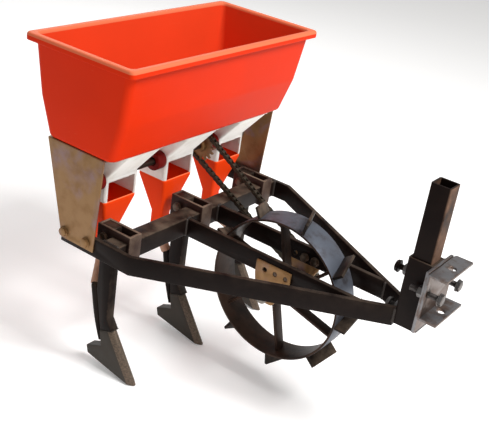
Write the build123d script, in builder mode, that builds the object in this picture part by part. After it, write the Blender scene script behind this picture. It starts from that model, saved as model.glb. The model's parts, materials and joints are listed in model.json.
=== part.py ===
"""Three-row seed drill, hitched behind a walk-behind tractor.

Millimetres, X forward, Y to the left, Z up. Z = 0 is at the tips of the shares, and X = 0 and Y = 0
are in the middle of the whole drill. A ground wheel turns the metering shaft by a chain, fluted rollers
drop the seed into funnels, and hoses lead it down behind three tines.
"""
import os
from math import asin, atan2, cos, degrees, hypot, pi, radians, sin, sqrt

from build123d import *

os.makedirs("parts", exist_ok=True)

# Clearances
run_fit = 0.05          # radial, shafts turning in bushes
key_fit = 0.1           # radial, pieces fixed on a shaft
bolt_gap = 0.5          # radial, bolts in their holes
thread_gap = 0.15       # radial, nuts on their bolts
slide_gap = 0.4         # between pieces that slide past each other
seat_gap = 0.3          # between a push-on piece and its seat

# Hopper
rim_length = 600.0
rim_width = 274.0
rim_drop = 15.0
rim_wall = 4.0
hopper_height = 197.0
hopper_wall = 4.0
hopper_radius = 16.0
rim_radius = 9.0
throat_inset = 11.0     # rim edge to the wall below it
crease_height = 80.0    # floor to the crease in the walls
crease_inset_front = 27.0  # rim to the crease, at the front and the rear
crease_inset_side = 16.0
floor_inset_front = 51.0
floor_inset_side = 21.0
ear_bolt = 5.0          # holds the metering units
flange_bolt = 8.0       # holds the side plates
flange_bolt_spread = 90.0

# Frame
tine_reach = 283.0      # share tips to the underside of the bars
bar_wall = 10.0
bar_rear = -34.0        # all lengths along X are from the middle of the hopper
bar_bend = 150.0
hopper_stand = 129.0    # bars to the hopper floor, less the height of the toolbar
toolbar_x = 92.0
toolbar_size = 40.0
toolbar_wall = 3.0
arm_spread = 96.0       # between the wheel arms
plate_wall = 3.0
plate_flange = 24.0
plate_top_rear = -83.0
plate_bottom_rear = -30.0
plate_top_front = 68.0
plate_bottom_front = 57.0
plate_lap = 30.0        # how far a side plate reaches down over its bar
plate_bolt = 10.0
plate_bolt_rear = 6.5   # bolts from the plate's lower corners
plate_bolt_front = 20.5
plate_bolt_lift = 24.8  # over the underside of the bars

# Hitch
socket_reach = 594.0
socket_size = 50.0
socket_wall = 4.5
socket_height = 142.0
socket_lift = 8.0       # socket's lower end over the underside of the bars
post_wall = 4.0
post_length = 287.0
post_lift = 5.0         # post's lower end over the socket's
backing_side = 27.0     # backing plate past each side of the socket
backing_height = 127.0
backing_wall = 6.0
channel_side = 4.5      # channel past each edge of the backing plate
channel_height = 95.0
channel_depth = 38.0
channel_wall = 5.0
pin_radius = 8.25
pin_inset = 17.0        # pin hole to the front edge of the channel
hitch_bolt = 12.0
hitch_bolt_side = 14.0  # swing bolts out from the sides of the socket
hitch_bolt_stand = 20.0  # heads of the swing bolts in front of the channel's web
hitch_bolt_tail = 27.0  # threads behind the backing plate
lock_bolt = 12.0
lock_heights = {"upper": 103.0, "lower": 22.0}  # lock screws over the socket's lower end
lock_nut_wall = 11.0
lock_stand = 10.0       # heads of the lock screws behind their nuts
lock_tip_gap = 0.3

# Ground wheel
axle_drop = 83.0        # axle under the upper edges of the bars
axle_radius = 8.0
axle_bush_wall = 2.5
bush_flange = 3.0
bush_lip = 3.0          # flange wider than the bush
bush_inset = 2.0        # bush's inner end inside the arm
wheel_radius = 152.0
rim_plate = 5.0
wheel_width = 66.0
lug_count = 9
lug_height = 24.0
lug_wall = 6.0
lug_phase = 38.0
lug_skew = 20.0         # degrees, lugs across the rim
spoke_count = 6
spoke_wall = 6.0
spoke_width = 25.0
spoke_phase = 45.0
spoke_sink = 1.5        # spokes stand side-on to the hub, let into it by this much
spoke_lap = 4.0         # spokes reach back past the place where they touch the hub
hub_wall = 7.0
hub_gap = 2.0           # hub to each wheel arm
bracket_wall = 5.0
bracket_rear = -32.0    # from the axle
bracket_front = 51.0
bracket_low_half = 20.0  # half the lower edge
bracket_corner = 10.0
bracket_drop = 16.0     # below the axle
bracket_lap = 28.0      # over the wheel arm
bracket_bolt = 10.0
bracket_bolt_recess = 1.0  # bolt tips inside the outer face
bracket_bolt_lift = 13.0  # over the underside of the bars
bracket_holes = 3
bracket_hole_first = -10.0  # from the axle
bracket_hole_pitch = 25.0
collar_length = 10.0
axle_collar_wall = 5.0
axle_end = 3.0          # axle past its right collar
axle_tail = 10.0        # axle past its sprocket

# Metering units
unit_pitch = 180.0
unit_width = 92.0
unit_wall = 4.0
unit_height = 118.0
inlet_start = 12.9      # inlet in front of the outlet's front
inlet_depth = 42.0
unit_outlet_depth = 74.0
unit_knee = 53.0        # straight front over the outlet
unit_leg = 8.0
unit_ear = 11.0
ear_wall = 4.0
unit_setback = 8.1      # unit behind the rear of the shanks
window_drop = 9.0       # window's upper edge under the knee
port_width = 32.0
port_length = 76.0
shaft_radius = 7.0
shaft_bush_wall = 3.0
shaft_bush_stand = 4.0  # bushes inside the unit's wall
shaft_collar_wall = 6.0
shaft_end = 1.0         # shaft past its collars
collar_gap = 1.0
meter_setback = 18.5    # shaft behind the front of the unit
meter_drop = 72.0       # shaft under the hopper floor
roller_radius = 13.0
roller_length = 64.0
flute_count = 10
flute_radius = 3.0
sleeve_radius = 20.0
sleeve_length = 24.0
sleeve_gap = 2.0        # radial, round the shaft

# Chain drive
chain_pitch = 12.7
chain_y = 96.0
upper_teeth = 16
lower_teeth = 12
roller_size = 4.2
link_half_height = 4.6
link_wall = 1.8
sprocket_wall = 6.0
sprocket_hub = 14.0
sprocket_boss = 10.0
tooth_height = 3.8
tooth_flare = 2.2       # each side, how much wider a tooth gap is at the tips
axle_offset = 321.0     # nominal, axle in front of the metering shaft

# Seed funnels and hoses
funnel_wall = 3.2
funnel_radius = 6.0     # corners at the rim
funnel_rim = 6.0        # straight part under the unit
funnel_taper = 90.0
neck_gap = 1.8          # radial, hose in the neck
neck_radius = 6.0
neck_length = 35.0
hose_radius = 11.0
hose_wall = 1.9
hose_rise = 44.0        # over the neck's lower end, so that it stays in when a tine goes down
hose_drop = 14.0        # neck's end to the knee of the hose
hose_bend = 30.0

# Tines
row_pitch = 225.0
shank_depth = 34.4
shank_width = 22.0
shank_top = 15.0        # over the toolbar
shank_bend = 127.0
share_width = 25.0
share_edge = 9.0
share_reach = 85.0      # tip in front of the shank
share_joint = 104.0     # upper edge of a share, at the front
share_joint_rear = 93.0
share_corner_x = 25.8   # corner over the heel, in front of the shank's rear
share_corner_z = 58.0
heel_reach = 15.2       # heel behind the shank's rear
heel_top = 41.0
heel_low = 23.0
heel_rake = 5.0
boot_top = 184.0
boot_setback = 14.0     # boot's tube behind the shank's rear
boot_wall = 1.6
boot_low = 66.0
boot_mouth = 37.0       # how far the slanting mouth reaches forward
boot_web = 6.0
nipple_length = 24.0
nipple_shoulder = 4.0   # hose's lower end to the elbow of the boot
clamp_wall = 6.0
clamp_bridge = 5.0
clamp_over = 16.0       # clamp above the toolbar
clamp_under = 6.0       # and below it
clamp_screw = 10.0
screw_inset = 6.0       # set screws from the edges of the bars
screw_stand = 4.0       # heads of the set screws off the clamp

# Fasteners
head_share = 0.65       # height of a head, in bolt diameters
nut_share = 0.8
thread_tail = 1.5       # thread past its nut
cut_over = 1.0          # cuts reach past what they cut

# Worked-out places
channel_front = socket_reach + socket_size + backing_wall + channel_depth
hx = (rim_width / 2 - channel_front) / 2
bar_z = tine_reach
bar_height = toolbar_size                        # bars as tall as the toolbar
bar_top = bar_z + bar_height
floor_z = bar_top + toolbar_size + hopper_stand
axle_height = bar_top - axle_drop
rim_z = floor_z + hopper_height
crease_z = floor_z + crease_height
floor_width = rim_width - 2 * floor_inset_front
floor_length = rim_length - 2 * floor_inset_side
crease_width = rim_width - 2 * crease_inset_front
crease_length = rim_length - 2 * crease_inset_side
plate_y = floor_length / 2                       # outer face of the side plates
bar_y = plate_y - plate_wall                     # outer face of the side bars
apex_y = socket_size / 2
backing_width = socket_size + 2 * backing_side
channel_width = backing_width + 2 * channel_side
hitch_bolt_spread = socket_size + 2 * hitch_bolt_side
bar_slope = (bar_y - apex_y) / (socket_reach - bar_bend)
bar_skew = bar_wall * hypot(1, bar_slope)        # bar thickness measured along Y where it slants
arm_y = arm_spread / 2
hub_length = arm_spread - 2 * hub_gap
hub_radius = axle_radius + hub_wall
axle_bush_radius = axle_radius + axle_bush_wall
axle_collar_radius = axle_radius + axle_collar_wall
shaft_bush_radius = shaft_radius + shaft_bush_wall
shaft_collar_radius = shaft_radius + shaft_collar_wall
toolbar_rear = toolbar_x - toolbar_size / 2
toolbar_front = toolbar_x + toolbar_size / 2
row_y = [-row_pitch, 0.0, row_pitch]
unit_y = [-unit_pitch, 0.0, unit_pitch]
sides = {"right": -1, "left": 1}

shank_front = toolbar_rear - slide_gap
shank_rear = shank_front - shank_depth
clamp_rear = shank_rear - slide_gap - clamp_bridge
clamp_front = toolbar_front + slide_gap + clamp_wall
clamp_half = shank_width / 2 + slide_gap + clamp_wall
clamp_z = bar_z - clamp_under
clamp_height = toolbar_size + clamp_over + clamp_under

unit_front = shank_rear - unit_setback
unit_rear = unit_front - unit_outlet_depth
unit_inlet_rear = unit_front + inlet_start
unit_inlet_front = unit_inlet_rear + inlet_depth
unit_z = floor_z - unit_height
neck_x = (unit_front + unit_rear) / 2
neck_size = 2 * (hose_radius + neck_gap + funnel_wall)
taper_bottom = unit_z - funnel_rim - funnel_taper
neck_bottom = taper_bottom - neck_length
boot_x = shank_rear - boot_setback
boot_radius = hose_radius - hose_wall - seat_gap

meter_x = unit_front - meter_setback
meter_z = floor_z - meter_drop
upper_radius = upper_teeth * chain_pitch / (2 * pi)
lower_radius = lower_teeth * chain_pitch / (2 * pi)
meter_rise = meter_z - axle_height
nominal_reach = hypot(axle_offset, meter_rise)
link_estimate = 2 * nominal_reach / chain_pitch + (upper_teeth + lower_teeth) / 2
chain_links = 2 * round(link_estimate / 2)
straight_links = chain_links - (upper_teeth + lower_teeth) / 2
tooth_step = (upper_teeth - lower_teeth) / (2 * pi)
centre_reach = chain_pitch / 4 * (straight_links + sqrt(straight_links**2 - 8 * tooth_step**2))
axle_x = meter_x + sqrt(centre_reach**2 - meter_rise**2)


def save(piece, name):
    """Label a finished piece and write it to its own file."""
    piece.part.label = name
    export_step(piece.part, f"parts/{name}.step")


def side_plane(y):
    """Plane seen from the right-hand side: X to the right, Z up, its normal towards -Y."""
    return Plane.XZ.offset(-y)


def facing(y, side):
    """Seat plane of a bolt head that lies on a face at y and looks away from the middle."""
    return Plane.XZ.offset(-y) if side < 0 else Plane(origin=(0, y, 0), x_dir=(-1, 0, 0), z_dir=(0, 1, 0))


def seat(plane, x, z):
    """The seat plane moved to a place given by its X and Z."""
    return Plane(origin=(x, plane.origin.Y, z), x_dir=plane.x_dir, z_dir=plane.z_dir)


def ring(plane, outer, inner, length):
    """A tube from the plane along its normal."""
    with BuildPart() as tube:
        with BuildSketch(plane):
            Circle(outer)
            Circle(inner, mode=Mode.SUBTRACT)
        extrude(amount=length)
    return tube.part


def across_corners(diameter):
    """Radius to the corners of a hexagon head or nut."""
    return (1.5 * diameter + 2) / sqrt(3)


def clamp_length(diameter, grip):
    """Length of a bolt that holds that grip with its nut."""
    return grip + nut_share * diameter + thread_tail


def bolt(plane, diameter, length, grip=0):
    """A hexagon bolt whose head sits on the plane, and its nut where there is a grip."""
    with BuildPart() as fastener:
        with BuildSketch(plane):
            RegularPolygon(across_corners(diameter), 6)
        extrude(amount=head_share * diameter)
        with BuildSketch(plane):
            Circle(diameter / 2)
        extrude(amount=-length)
        if grip:
            with BuildSketch(plane.offset(-grip)):
                RegularPolygon(across_corners(diameter), 6)
                Circle(diameter / 2 + thread_gap, mode=Mode.SUBTRACT)
            extrude(amount=-nut_share * diameter)
    return fastener.part


def group(pieces, name):
    """Like pieces kept together in one file, each a solid of its own."""
    with BuildPart() as together:
        add(pieces)
    save(together, name)


# Hopper: folded rim, two tapers and a floor with three seed ports
hopper_levels = [
    (floor_z, floor_width, floor_length),
    (crease_z, crease_width, crease_length),
    (rim_z, rim_width - 2 * throat_inset, rim_length - 2 * throat_inset),
]
port_x = hx + (unit_inlet_rear + unit_inlet_front) / 2
ear_reach = unit_width / 2 + unit_ear / 2
flange_bolt_x = [hx - flange_bolt_spread / 2, hx + flange_bolt_spread / 2]
flange_bolt_y = bar_y - plate_flange / 2
ear_seats = [(port_x, y + ear_side * ear_reach) for y in unit_y for ear_side in (-1, 1)]
flange_seats = [(x, side * flange_bolt_y) for x in flange_bolt_x for side in sides.values()]

with BuildPart() as hopper:
    for lower, upper in zip(hopper_levels, hopper_levels[1:]):
        for level, width, length in (lower, upper):
            with BuildSketch(Plane.XY.offset(level)):
                with Locations((hx, 0)):
                    RectangleRounded(width, length, hopper_radius)
        loft(ruled=True)
    with BuildSketch(Plane.XY.offset(rim_z - rim_wall)):
        with Locations((hx, 0)):
            RectangleRounded(rim_width, rim_length, rim_radius)
    extrude(amount=rim_wall)
    with BuildSketch(Plane.XY.offset(rim_z - rim_drop)):
        with Locations((hx, 0)):
            RectangleRounded(rim_width, rim_length, rim_radius)
            RectangleRounded(rim_width - 2 * rim_wall, rim_length - 2 * rim_wall, rim_radius - rim_wall,
                             mode=Mode.SUBTRACT)
    extrude(amount=rim_drop)
    for lower, upper in zip(hopper_levels, hopper_levels[1:]):
        for level, width, length in (lower, upper):
            raised = hopper_wall if level == floor_z else 0
            with BuildSketch(Plane.XY.offset(level + raised)):
                with Locations((hx, 0)):
                    RectangleRounded(width - 2 * hopper_wall, length - 2 * hopper_wall,
                                     hopper_radius - hopper_wall)
        loft(ruled=True, mode=Mode.SUBTRACT)
    with BuildSketch(Plane.XY.offset(floor_z)):
        with Locations(*[(port_x, y) for y in unit_y]):
            Rectangle(port_width, port_length)
        with Locations(*ear_seats):
            Circle(ear_bolt / 2 + bolt_gap)
        with Locations(*flange_seats):
            Circle(flange_bolt / 2 + bolt_gap)
    extrude(amount=hopper_wall, mode=Mode.SUBTRACT)
save(hopper, "hopper")

# Side bars: flat bars that bend inwards to the hitch socket
plate_bolt_x = [hx + plate_bottom_rear + plate_bolt_rear, hx + plate_bottom_front - plate_bolt_front]
plate_bolt_z = bar_z + plate_bolt_lift

for name, side in sides.items():
    inner_bend = bar_bend - (bar_skew - bar_wall) / bar_slope
    bar_points = [
        (hx + bar_rear, side * bar_y),
        (hx + bar_bend, side * bar_y),
        (hx + socket_reach, side * apex_y),
        (hx + socket_reach, side * (apex_y - bar_skew)),
        (hx + inner_bend, side * (bar_y - bar_wall)),
        (hx + bar_rear, side * (bar_y - bar_wall)),
    ]
    with BuildPart() as side_bar:
        with BuildSketch(Plane.XY.offset(bar_z)):
            Polygon(*bar_points, align=None)
        extrude(amount=bar_height)
        with BuildSketch(side_plane(0)):
            with Locations(*[(x, plate_bolt_z) for x in plate_bolt_x]):
                Circle(plate_bolt / 2 + bolt_gap)
        extrude(amount=bar_y, both=True, mode=Mode.SUBTRACT)
    save(side_bar, f"{name}_side_bar")

# Toolbar: square tube between the side bars
with BuildPart() as toolbar:
    with BuildSketch(side_plane(0)):
        with Locations((hx + toolbar_x, bar_z + toolbar_size / 2)):
            Rectangle(toolbar_size, toolbar_size)
            Rectangle(toolbar_size - 2 * toolbar_wall, toolbar_size - 2 * toolbar_wall, mode=Mode.SUBTRACT)
    extrude(amount=bar_y - bar_wall, both=True)
save(toolbar, "toolbar")

# Wheel arms: from the toolbar to the slanting bars
bracket_z = bar_z + bracket_bolt_lift
first_hole = axle_x + bracket_hole_first
bracket_hole_x = [first_hole + step * bracket_hole_pitch for step in range(bracket_holes)]
bracket_bolt_x = bracket_hole_x[1:]


def arm_end(y):
    """X where a wheel arm's edge at y meets the inner face of the slanting bar."""
    return bar_bend + (bar_y - bar_skew - y) / bar_slope


for name, side in sides.items():
    arm_points = [
        (hx + toolbar_front, side * arm_y),
        (hx + toolbar_front, side * (arm_y + bar_wall)),
        (hx + arm_end(arm_y + bar_wall), side * (arm_y + bar_wall)),
        (hx + arm_end(arm_y), side * arm_y),
    ]
    with BuildPart() as wheel_arm:
        with BuildSketch(Plane.XY.offset(bar_z)):
            Polygon(*arm_points, align=None)
        extrude(amount=bar_height)
        with BuildSketch(side_plane(0)):
            with Locations(*[(hx + x, bracket_z) for x in bracket_hole_x]):
                Circle(bracket_bolt / 2 + bolt_gap)
        extrude(amount=arm_y + bar_wall, both=True, mode=Mode.SUBTRACT)
    save(wheel_arm, f"{name}_wheel_arm")

# Axle brackets: plates under the wheel arms, with a row of holes to set the wheel
bracket_y = arm_y + bar_wall
bracket_top = bar_z + bracket_lap
for name, side in sides.items():
    bracket_points = [
        (hx + axle_x + bracket_rear, bracket_top),
        (hx + axle_x + bracket_front, bracket_top),
        (hx + axle_x + bracket_front, bar_z),
        (hx + axle_x + bracket_low_half, axle_height - bracket_drop),
        (hx + axle_x - bracket_low_half, axle_height - bracket_drop),
        (hx + axle_x + bracket_rear, bar_z),
    ]
    with BuildPart() as axle_bracket:
        with BuildSketch(side_plane(side * (bracket_y + bracket_wall / 2))):
            Polygon(*bracket_points, align=None)
            with Locations(*[(hx + x, bracket_z) for x in bracket_hole_x]):
                Circle(bracket_bolt / 2 + thread_gap, mode=Mode.SUBTRACT)
            with Locations((hx + axle_x, axle_height)):
                Circle(axle_bush_radius + run_fit, mode=Mode.SUBTRACT)
        extrude(amount=bracket_wall / 2, both=True)
        low_edges = axle_bracket.edges().filter_by(Axis.Y).group_by(Axis.Z)[0]
        fillet(low_edges, bracket_corner)
    save(axle_bracket, f"{name}_axle_bracket")

# Axle bushes: flanged, one in each bracket, and the bolts that hold the brackets from the inside
bush_start = arm_y + bush_inset
bush_end = bracket_y + bracket_wall + bush_flange
axle_bushes = []
bracket_bolts = []
for side in sides.values():
    centre = seat(facing(side * bush_end, side), hx + axle_x, axle_height)
    axle_bushes.append(ring(centre, axle_bush_radius + bush_lip, axle_radius + run_fit, -bush_flange))
    axle_bushes.append(ring(centre, axle_bush_radius, axle_radius + run_fit, bush_start - bush_end))
    inner_face = facing(side * arm_y, -side)
    length = bar_wall + bracket_wall - bracket_bolt_recess
    for x in bracket_bolt_x:
        bracket_bolts.append(bolt(seat(inner_face, hx + x, bracket_z), bracket_bolt, length))
group(axle_bushes, "axle_bushes")
group(bracket_bolts, "bracket_bolts")

# Side plates: from the bars up to a flange under the hopper floor
plate_bottom = bar_top - plate_lap
for name, side in sides.items():
    plate_points = [
        (hx + plate_top_rear, floor_z),
        (hx + plate_top_front, floor_z),
        (hx + plate_bottom_front, plate_bottom),
        (hx + plate_bottom_rear, plate_bottom),
    ]
    with BuildPart() as side_plate:
        with BuildSketch(side_plane(side * (bar_y + plate_wall / 2))):
            Polygon(*plate_points, align=None)
            with Locations(*[(x, plate_bolt_z) for x in plate_bolt_x]):
                Circle(plate_bolt / 2 + bolt_gap, mode=Mode.SUBTRACT)
        extrude(amount=plate_wall / 2, both=True)
        with BuildSketch(Plane.XY.offset(floor_z)):
            with Locations((hx + (plate_top_rear + plate_top_front) / 2, side * (bar_y - plate_flange / 2))):
                Rectangle(plate_top_front - plate_top_rear, plate_flange)
            with Locations(*[(x, side * flange_bolt_y) for x in flange_bolt_x]):
                Circle(flange_bolt / 2 + bolt_gap, mode=Mode.SUBTRACT)
        extrude(amount=-plate_wall)
    save(side_plate, f"{name}_side_plate")

grip = plate_wall + bar_wall
length = clamp_length(plate_bolt, grip)
plate_bolts = [
    bolt(seat(facing(side * plate_y, side), x, plate_bolt_z), plate_bolt, length, grip)
    for side in sides.values()
    for x in plate_bolt_x
]
group(plate_bolts, "plate_bolts")

hopper_bolts = []
for seats, diameter, clamped in ((flange_seats, flange_bolt, plate_wall), (ear_seats, ear_bolt, ear_wall)):
    for x, y in seats:
        head = Plane((x, y, floor_z + hopper_wall))
        grip = hopper_wall + clamped
        hopper_bolts.append(bolt(head, diameter, clamp_length(diameter, grip), grip))
group(hopper_bolts, "hopper_bolts")

# Hitch socket, post and bracket
socket_x = hx + socket_reach + socket_size / 2
socket_z = bar_z + socket_lift
lock_z = {name: socket_z + height for name, height in lock_heights.items()}
socket_bore = socket_size - 2 * socket_wall
post_size = socket_bore - 2 * slide_gap
with BuildPart() as hitch_socket:
    with BuildSketch(Plane.XY.offset(socket_z)):
        with Locations((socket_x, 0)):
            Rectangle(socket_size, socket_size)
            Rectangle(socket_bore, socket_bore, mode=Mode.SUBTRACT)
    extrude(amount=socket_height)
    with BuildSketch(Plane.YZ.offset(hx + socket_reach)):
        with Locations(*[(0, z) for z in lock_z.values()]):
            Circle(lock_bolt / 2 + bolt_gap)
    extrude(amount=socket_wall, mode=Mode.SUBTRACT)
save(hitch_socket, "hitch_socket")

post_z = socket_z + post_lift
with BuildPart() as hitch_post:
    with BuildSketch(Plane.XY.offset(post_z)):
        with Locations((socket_x, 0)):
            RectangleRounded(post_size, post_size, post_wall)
            Rectangle(post_size - 2 * post_wall, post_size - 2 * post_wall, mode=Mode.SUBTRACT)
    extrude(amount=post_length)
save(hitch_post, "hitch_post")

lock_tip = socket_wall + slide_gap - lock_tip_gap
lock_nuts = []
for name, z in lock_z.items():
    lock_face = Plane(origin=(hx + socket_reach, 0, z), x_dir=(0, -1, 0), z_dir=(-1, 0, 0))
    with BuildPart() as lock_nut:
        with BuildSketch(lock_face):
            RegularPolygon(across_corners(lock_bolt), 6)
            Circle(lock_bolt / 2 + slide_gap, mode=Mode.SUBTRACT)
        extrude(amount=lock_nut_wall)
    lock_nuts.append(lock_nut.part)
    lock_head = lock_face.offset(lock_nut_wall + lock_stand)
    lock_length = lock_nut_wall + lock_stand + lock_tip
    group([bolt(lock_head, lock_bolt, lock_length)], f"{name}_lock_screw")
group(lock_nuts, "lock_nuts")

plate_x = hx + socket_reach + socket_size
backing_z = socket_z + socket_height - backing_height
channel_z = socket_z + socket_height - channel_height
hitch_bolt_z = channel_z + channel_height / 2
hitch_bolt_y = [-hitch_bolt_spread / 2, hitch_bolt_spread / 2]
with BuildPart() as hitch_plate:
    with BuildSketch(Plane.YZ.offset(plate_x)):
        with Locations((0, backing_z + backing_height / 2)):
            Rectangle(backing_width, backing_height)
        with Locations(*[(y, hitch_bolt_z) for y in hitch_bolt_y]):
            Circle(hitch_bolt / 2 + bolt_gap, mode=Mode.SUBTRACT)
    extrude(amount=backing_wall)
save(hitch_plate, "hitch_plate")

channel_x = plate_x + backing_wall
channel_points = [
    (channel_x, channel_z),
    (channel_x + channel_depth, channel_z),
    (channel_x + channel_depth, channel_z + channel_wall),
    (channel_x + channel_wall, channel_z + channel_wall),
    (channel_x + channel_wall, channel_z + channel_height - channel_wall),
    (channel_x + channel_depth, channel_z + channel_height - channel_wall),
    (channel_x + channel_depth, channel_z + channel_height),
    (channel_x, channel_z + channel_height),
]
with BuildPart() as hitch_bracket:
    with BuildSketch(side_plane(0)):
        Polygon(*channel_points, align=None)
    extrude(amount=channel_width / 2, both=True)
    with BuildSketch(Plane.YZ.offset(channel_x)):
        with Locations(*[(y, hitch_bolt_z) for y in hitch_bolt_y]):
            Circle(hitch_bolt / 2 + bolt_gap)
    extrude(amount=channel_wall, mode=Mode.SUBTRACT)
    with BuildSketch(Plane.XY.offset(channel_z)):
        with Locations((channel_x + channel_depth - pin_inset, 0)):
            Circle(pin_radius)
    extrude(amount=channel_height, mode=Mode.SUBTRACT)
save(hitch_bracket, "hitch_bracket")

grip = hitch_bolt_stand + channel_wall + backing_wall
head_x = channel_x + channel_wall + hitch_bolt_stand
hitch_bolts = []
for y in hitch_bolt_y:
    head = Plane(origin=(head_x, y, hitch_bolt_z), x_dir=(0, 1, 0), z_dir=(1, 0, 0))
    hitch_bolts.append(bolt(head, hitch_bolt, grip + hitch_bolt_tail, grip))
group(hitch_bolts, "hitch_bolts")

# Metering units under the hopper
unit_outline = [
    (hx + unit_inlet_front, floor_z),
    (hx + unit_inlet_rear, floor_z),
    (hx + unit_rear, unit_z),
    (hx + unit_front, unit_z),
    (hx + unit_front, unit_z + unit_knee),
]
window_top = unit_z + unit_knee - window_drop
for number, y in enumerate(unit_y, 1):
    with BuildPart() as housing:
        with BuildSketch(side_plane(y)):
            Polygon(*unit_outline, align=None)
        extrude(amount=unit_width / 2, both=True)
        ends = housing.faces().sort_by(Axis.Z)
        offset(amount=-unit_wall, openings=[ends[0], ends[-1]])
        with BuildSketch(Plane.XY.offset(floor_z - ear_wall)):
            for ear_side in (-1, 1):
                with Locations((port_x, y + ear_side * ear_reach)):
                    Rectangle(port_width, unit_ear)
                    Circle(ear_bolt / 2 + bolt_gap, mode=Mode.SUBTRACT)
        extrude(amount=ear_wall)
        with BuildSketch(Plane.YZ.offset(hx + unit_front - unit_wall)):
            with Locations((y, (unit_z + window_top) / 2)):
                Rectangle(unit_width - 2 * unit_leg, window_top - unit_z)
        extrude(amount=unit_wall, mode=Mode.SUBTRACT)
        with BuildSketch(side_plane(y)):
            with Locations((hx + meter_x, meter_z)):
                Circle(shaft_bush_radius + run_fit)
        extrude(amount=unit_width / 2, both=True, mode=Mode.SUBTRACT)
    save(housing, f"metering_housing_{number}")

shaft_bush_length = unit_wall + shaft_bush_stand
meter_axis = seat(side_plane(0), hx + meter_x, meter_z)
shaft_bushes = []
cutoff_sleeves = []
for y in unit_y:
    for side in sides.values():
        outer_face = seat(facing(y + side * unit_width / 2, side), hx + meter_x, meter_z)
        shaft_bushes.append(ring(outer_face, shaft_bush_radius, shaft_radius + run_fit, -shaft_bush_length))
    right_face = meter_axis.offset(unit_width / 2 - y)
    cutoff_sleeves.append(ring(right_face, sleeve_radius, shaft_radius + sleeve_gap, sleeve_length))
group(shaft_bushes, "shaft_bushes")
group(cutoff_sleeves, "cutoff_sleeves")

# Metering shaft with its rollers, collars and sprocket
collar_room = collar_gap + collar_length + shaft_end
shaft_right = unit_y[0] - unit_width / 2 - sleeve_length - collar_room
shaft_left = unit_y[-1] + unit_width / 2 + collar_room
with BuildPart() as metering_shaft:
    with BuildSketch(meter_axis.offset(-shaft_left)):
        Circle(shaft_radius)
    extrude(amount=shaft_left - shaft_right)
save(metering_shaft, "metering_shaft")

for number, y in enumerate(unit_y, 1):
    with BuildPart() as roller:
        with BuildSketch(meter_axis.offset(-y)):
            Circle(roller_radius)
            with PolarLocations(roller_radius, flute_count):
                Circle(flute_radius, mode=Mode.SUBTRACT)
            Circle(shaft_radius + key_fit, mode=Mode.SUBTRACT)
        extrude(amount=roller_length / 2, both=True)
    save(roller, f"fluted_roller_{number}")

collar_bore = shaft_radius + key_fit
right_collar = meter_axis.offset(-shaft_right - shaft_end)
left_collar = meter_axis.offset(-shaft_left + shaft_end)
shaft_collars = [
    ring(right_collar, shaft_collar_radius, collar_bore, -collar_length),
    ring(left_collar, shaft_collar_radius, collar_bore, collar_length),
]
group(shaft_collars, "shaft_collars")

# Chain path: two runs that touch both sprockets, and an arc round each
upper_centre = Vector(hx + meter_x, meter_z)
lower_centre = Vector(hx + axle_x, axle_height)
along = (lower_centre - upper_centre) / centre_reach
across = Vector(-along.Y, along.X)
lean = (upper_radius - lower_radius) / centre_reach
top_normal = along * lean + across * sqrt(1 - lean**2)
low_normal = along * lean - across * sqrt(1 - lean**2)
top_angle = atan2(top_normal.Y, top_normal.X)
run_length = centre_reach * sqrt(1 - lean**2)
lower_wrap = (pi - 2 * asin(lean)) * lower_radius
upper_wrap = (pi + 2 * asin(lean)) * upper_radius
link_step = (2 * run_length + lower_wrap + upper_wrap) / chain_links
run_way = (lower_centre + top_normal * lower_radius - upper_centre - top_normal * upper_radius) / run_length
back_way = (upper_centre + low_normal * upper_radius - lower_centre - low_normal * lower_radius) / run_length


def on_circle(centre, radius, angle):
    """Point of a circle in the chain's plane."""
    return centre + Vector(cos(angle), sin(angle)) * radius


def chain_place(distance):
    """Point of the chain's path, that far along it from the top of the upper sprocket."""
    if distance < run_length:
        return upper_centre + top_normal * upper_radius + run_way * distance
    distance -= run_length
    if distance < lower_wrap:
        return on_circle(lower_centre, lower_radius, top_angle - distance / lower_radius)
    distance -= lower_wrap
    if distance < run_length:
        return lower_centre + low_normal * lower_radius + back_way * distance
    distance -= run_length
    return on_circle(upper_centre, upper_radius, top_angle + (upper_wrap - distance) / upper_radius)


link_places = [chain_place(step * link_step) for step in range(chain_links)]
link_gap = sprocket_wall / 2 + slide_gap
tip_room = tooth_height + roller_size + slide_gap


def clear_of_teeth(place):
    """True on the free runs, where no tooth reaches the chain's rollers."""
    return ((place - upper_centre).length > upper_radius + tip_room
            and (place - lower_centre).length > lower_radius + tip_room)


with BuildPart() as drive_chain:
    for strip_y in (chain_y + link_gap + link_wall, chain_y - link_gap):
        with BuildSketch(side_plane(strip_y)):
            for centre, radius in ((upper_centre, upper_radius), (lower_centre, lower_radius)):
                with Locations((centre.X, centre.Y)):
                    Circle(radius + link_half_height)
            make_hull()
        extrude(amount=link_wall)
        with BuildSketch(side_plane(strip_y)):
            for centre, radius in ((upper_centre, upper_radius), (lower_centre, lower_radius)):
                with Locations((centre.X, centre.Y)):
                    Circle(radius - link_half_height)
            make_hull()
        extrude(amount=link_wall, mode=Mode.SUBTRACT)
    with BuildSketch(side_plane(chain_y)):
        with Locations(*[(place.X, place.Y) for place in link_places if clear_of_teeth(place)]):
            Circle(roller_size)
    extrude(amount=link_gap + link_wall / 2, both=True)
save(drive_chain, "drive_chain")


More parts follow.
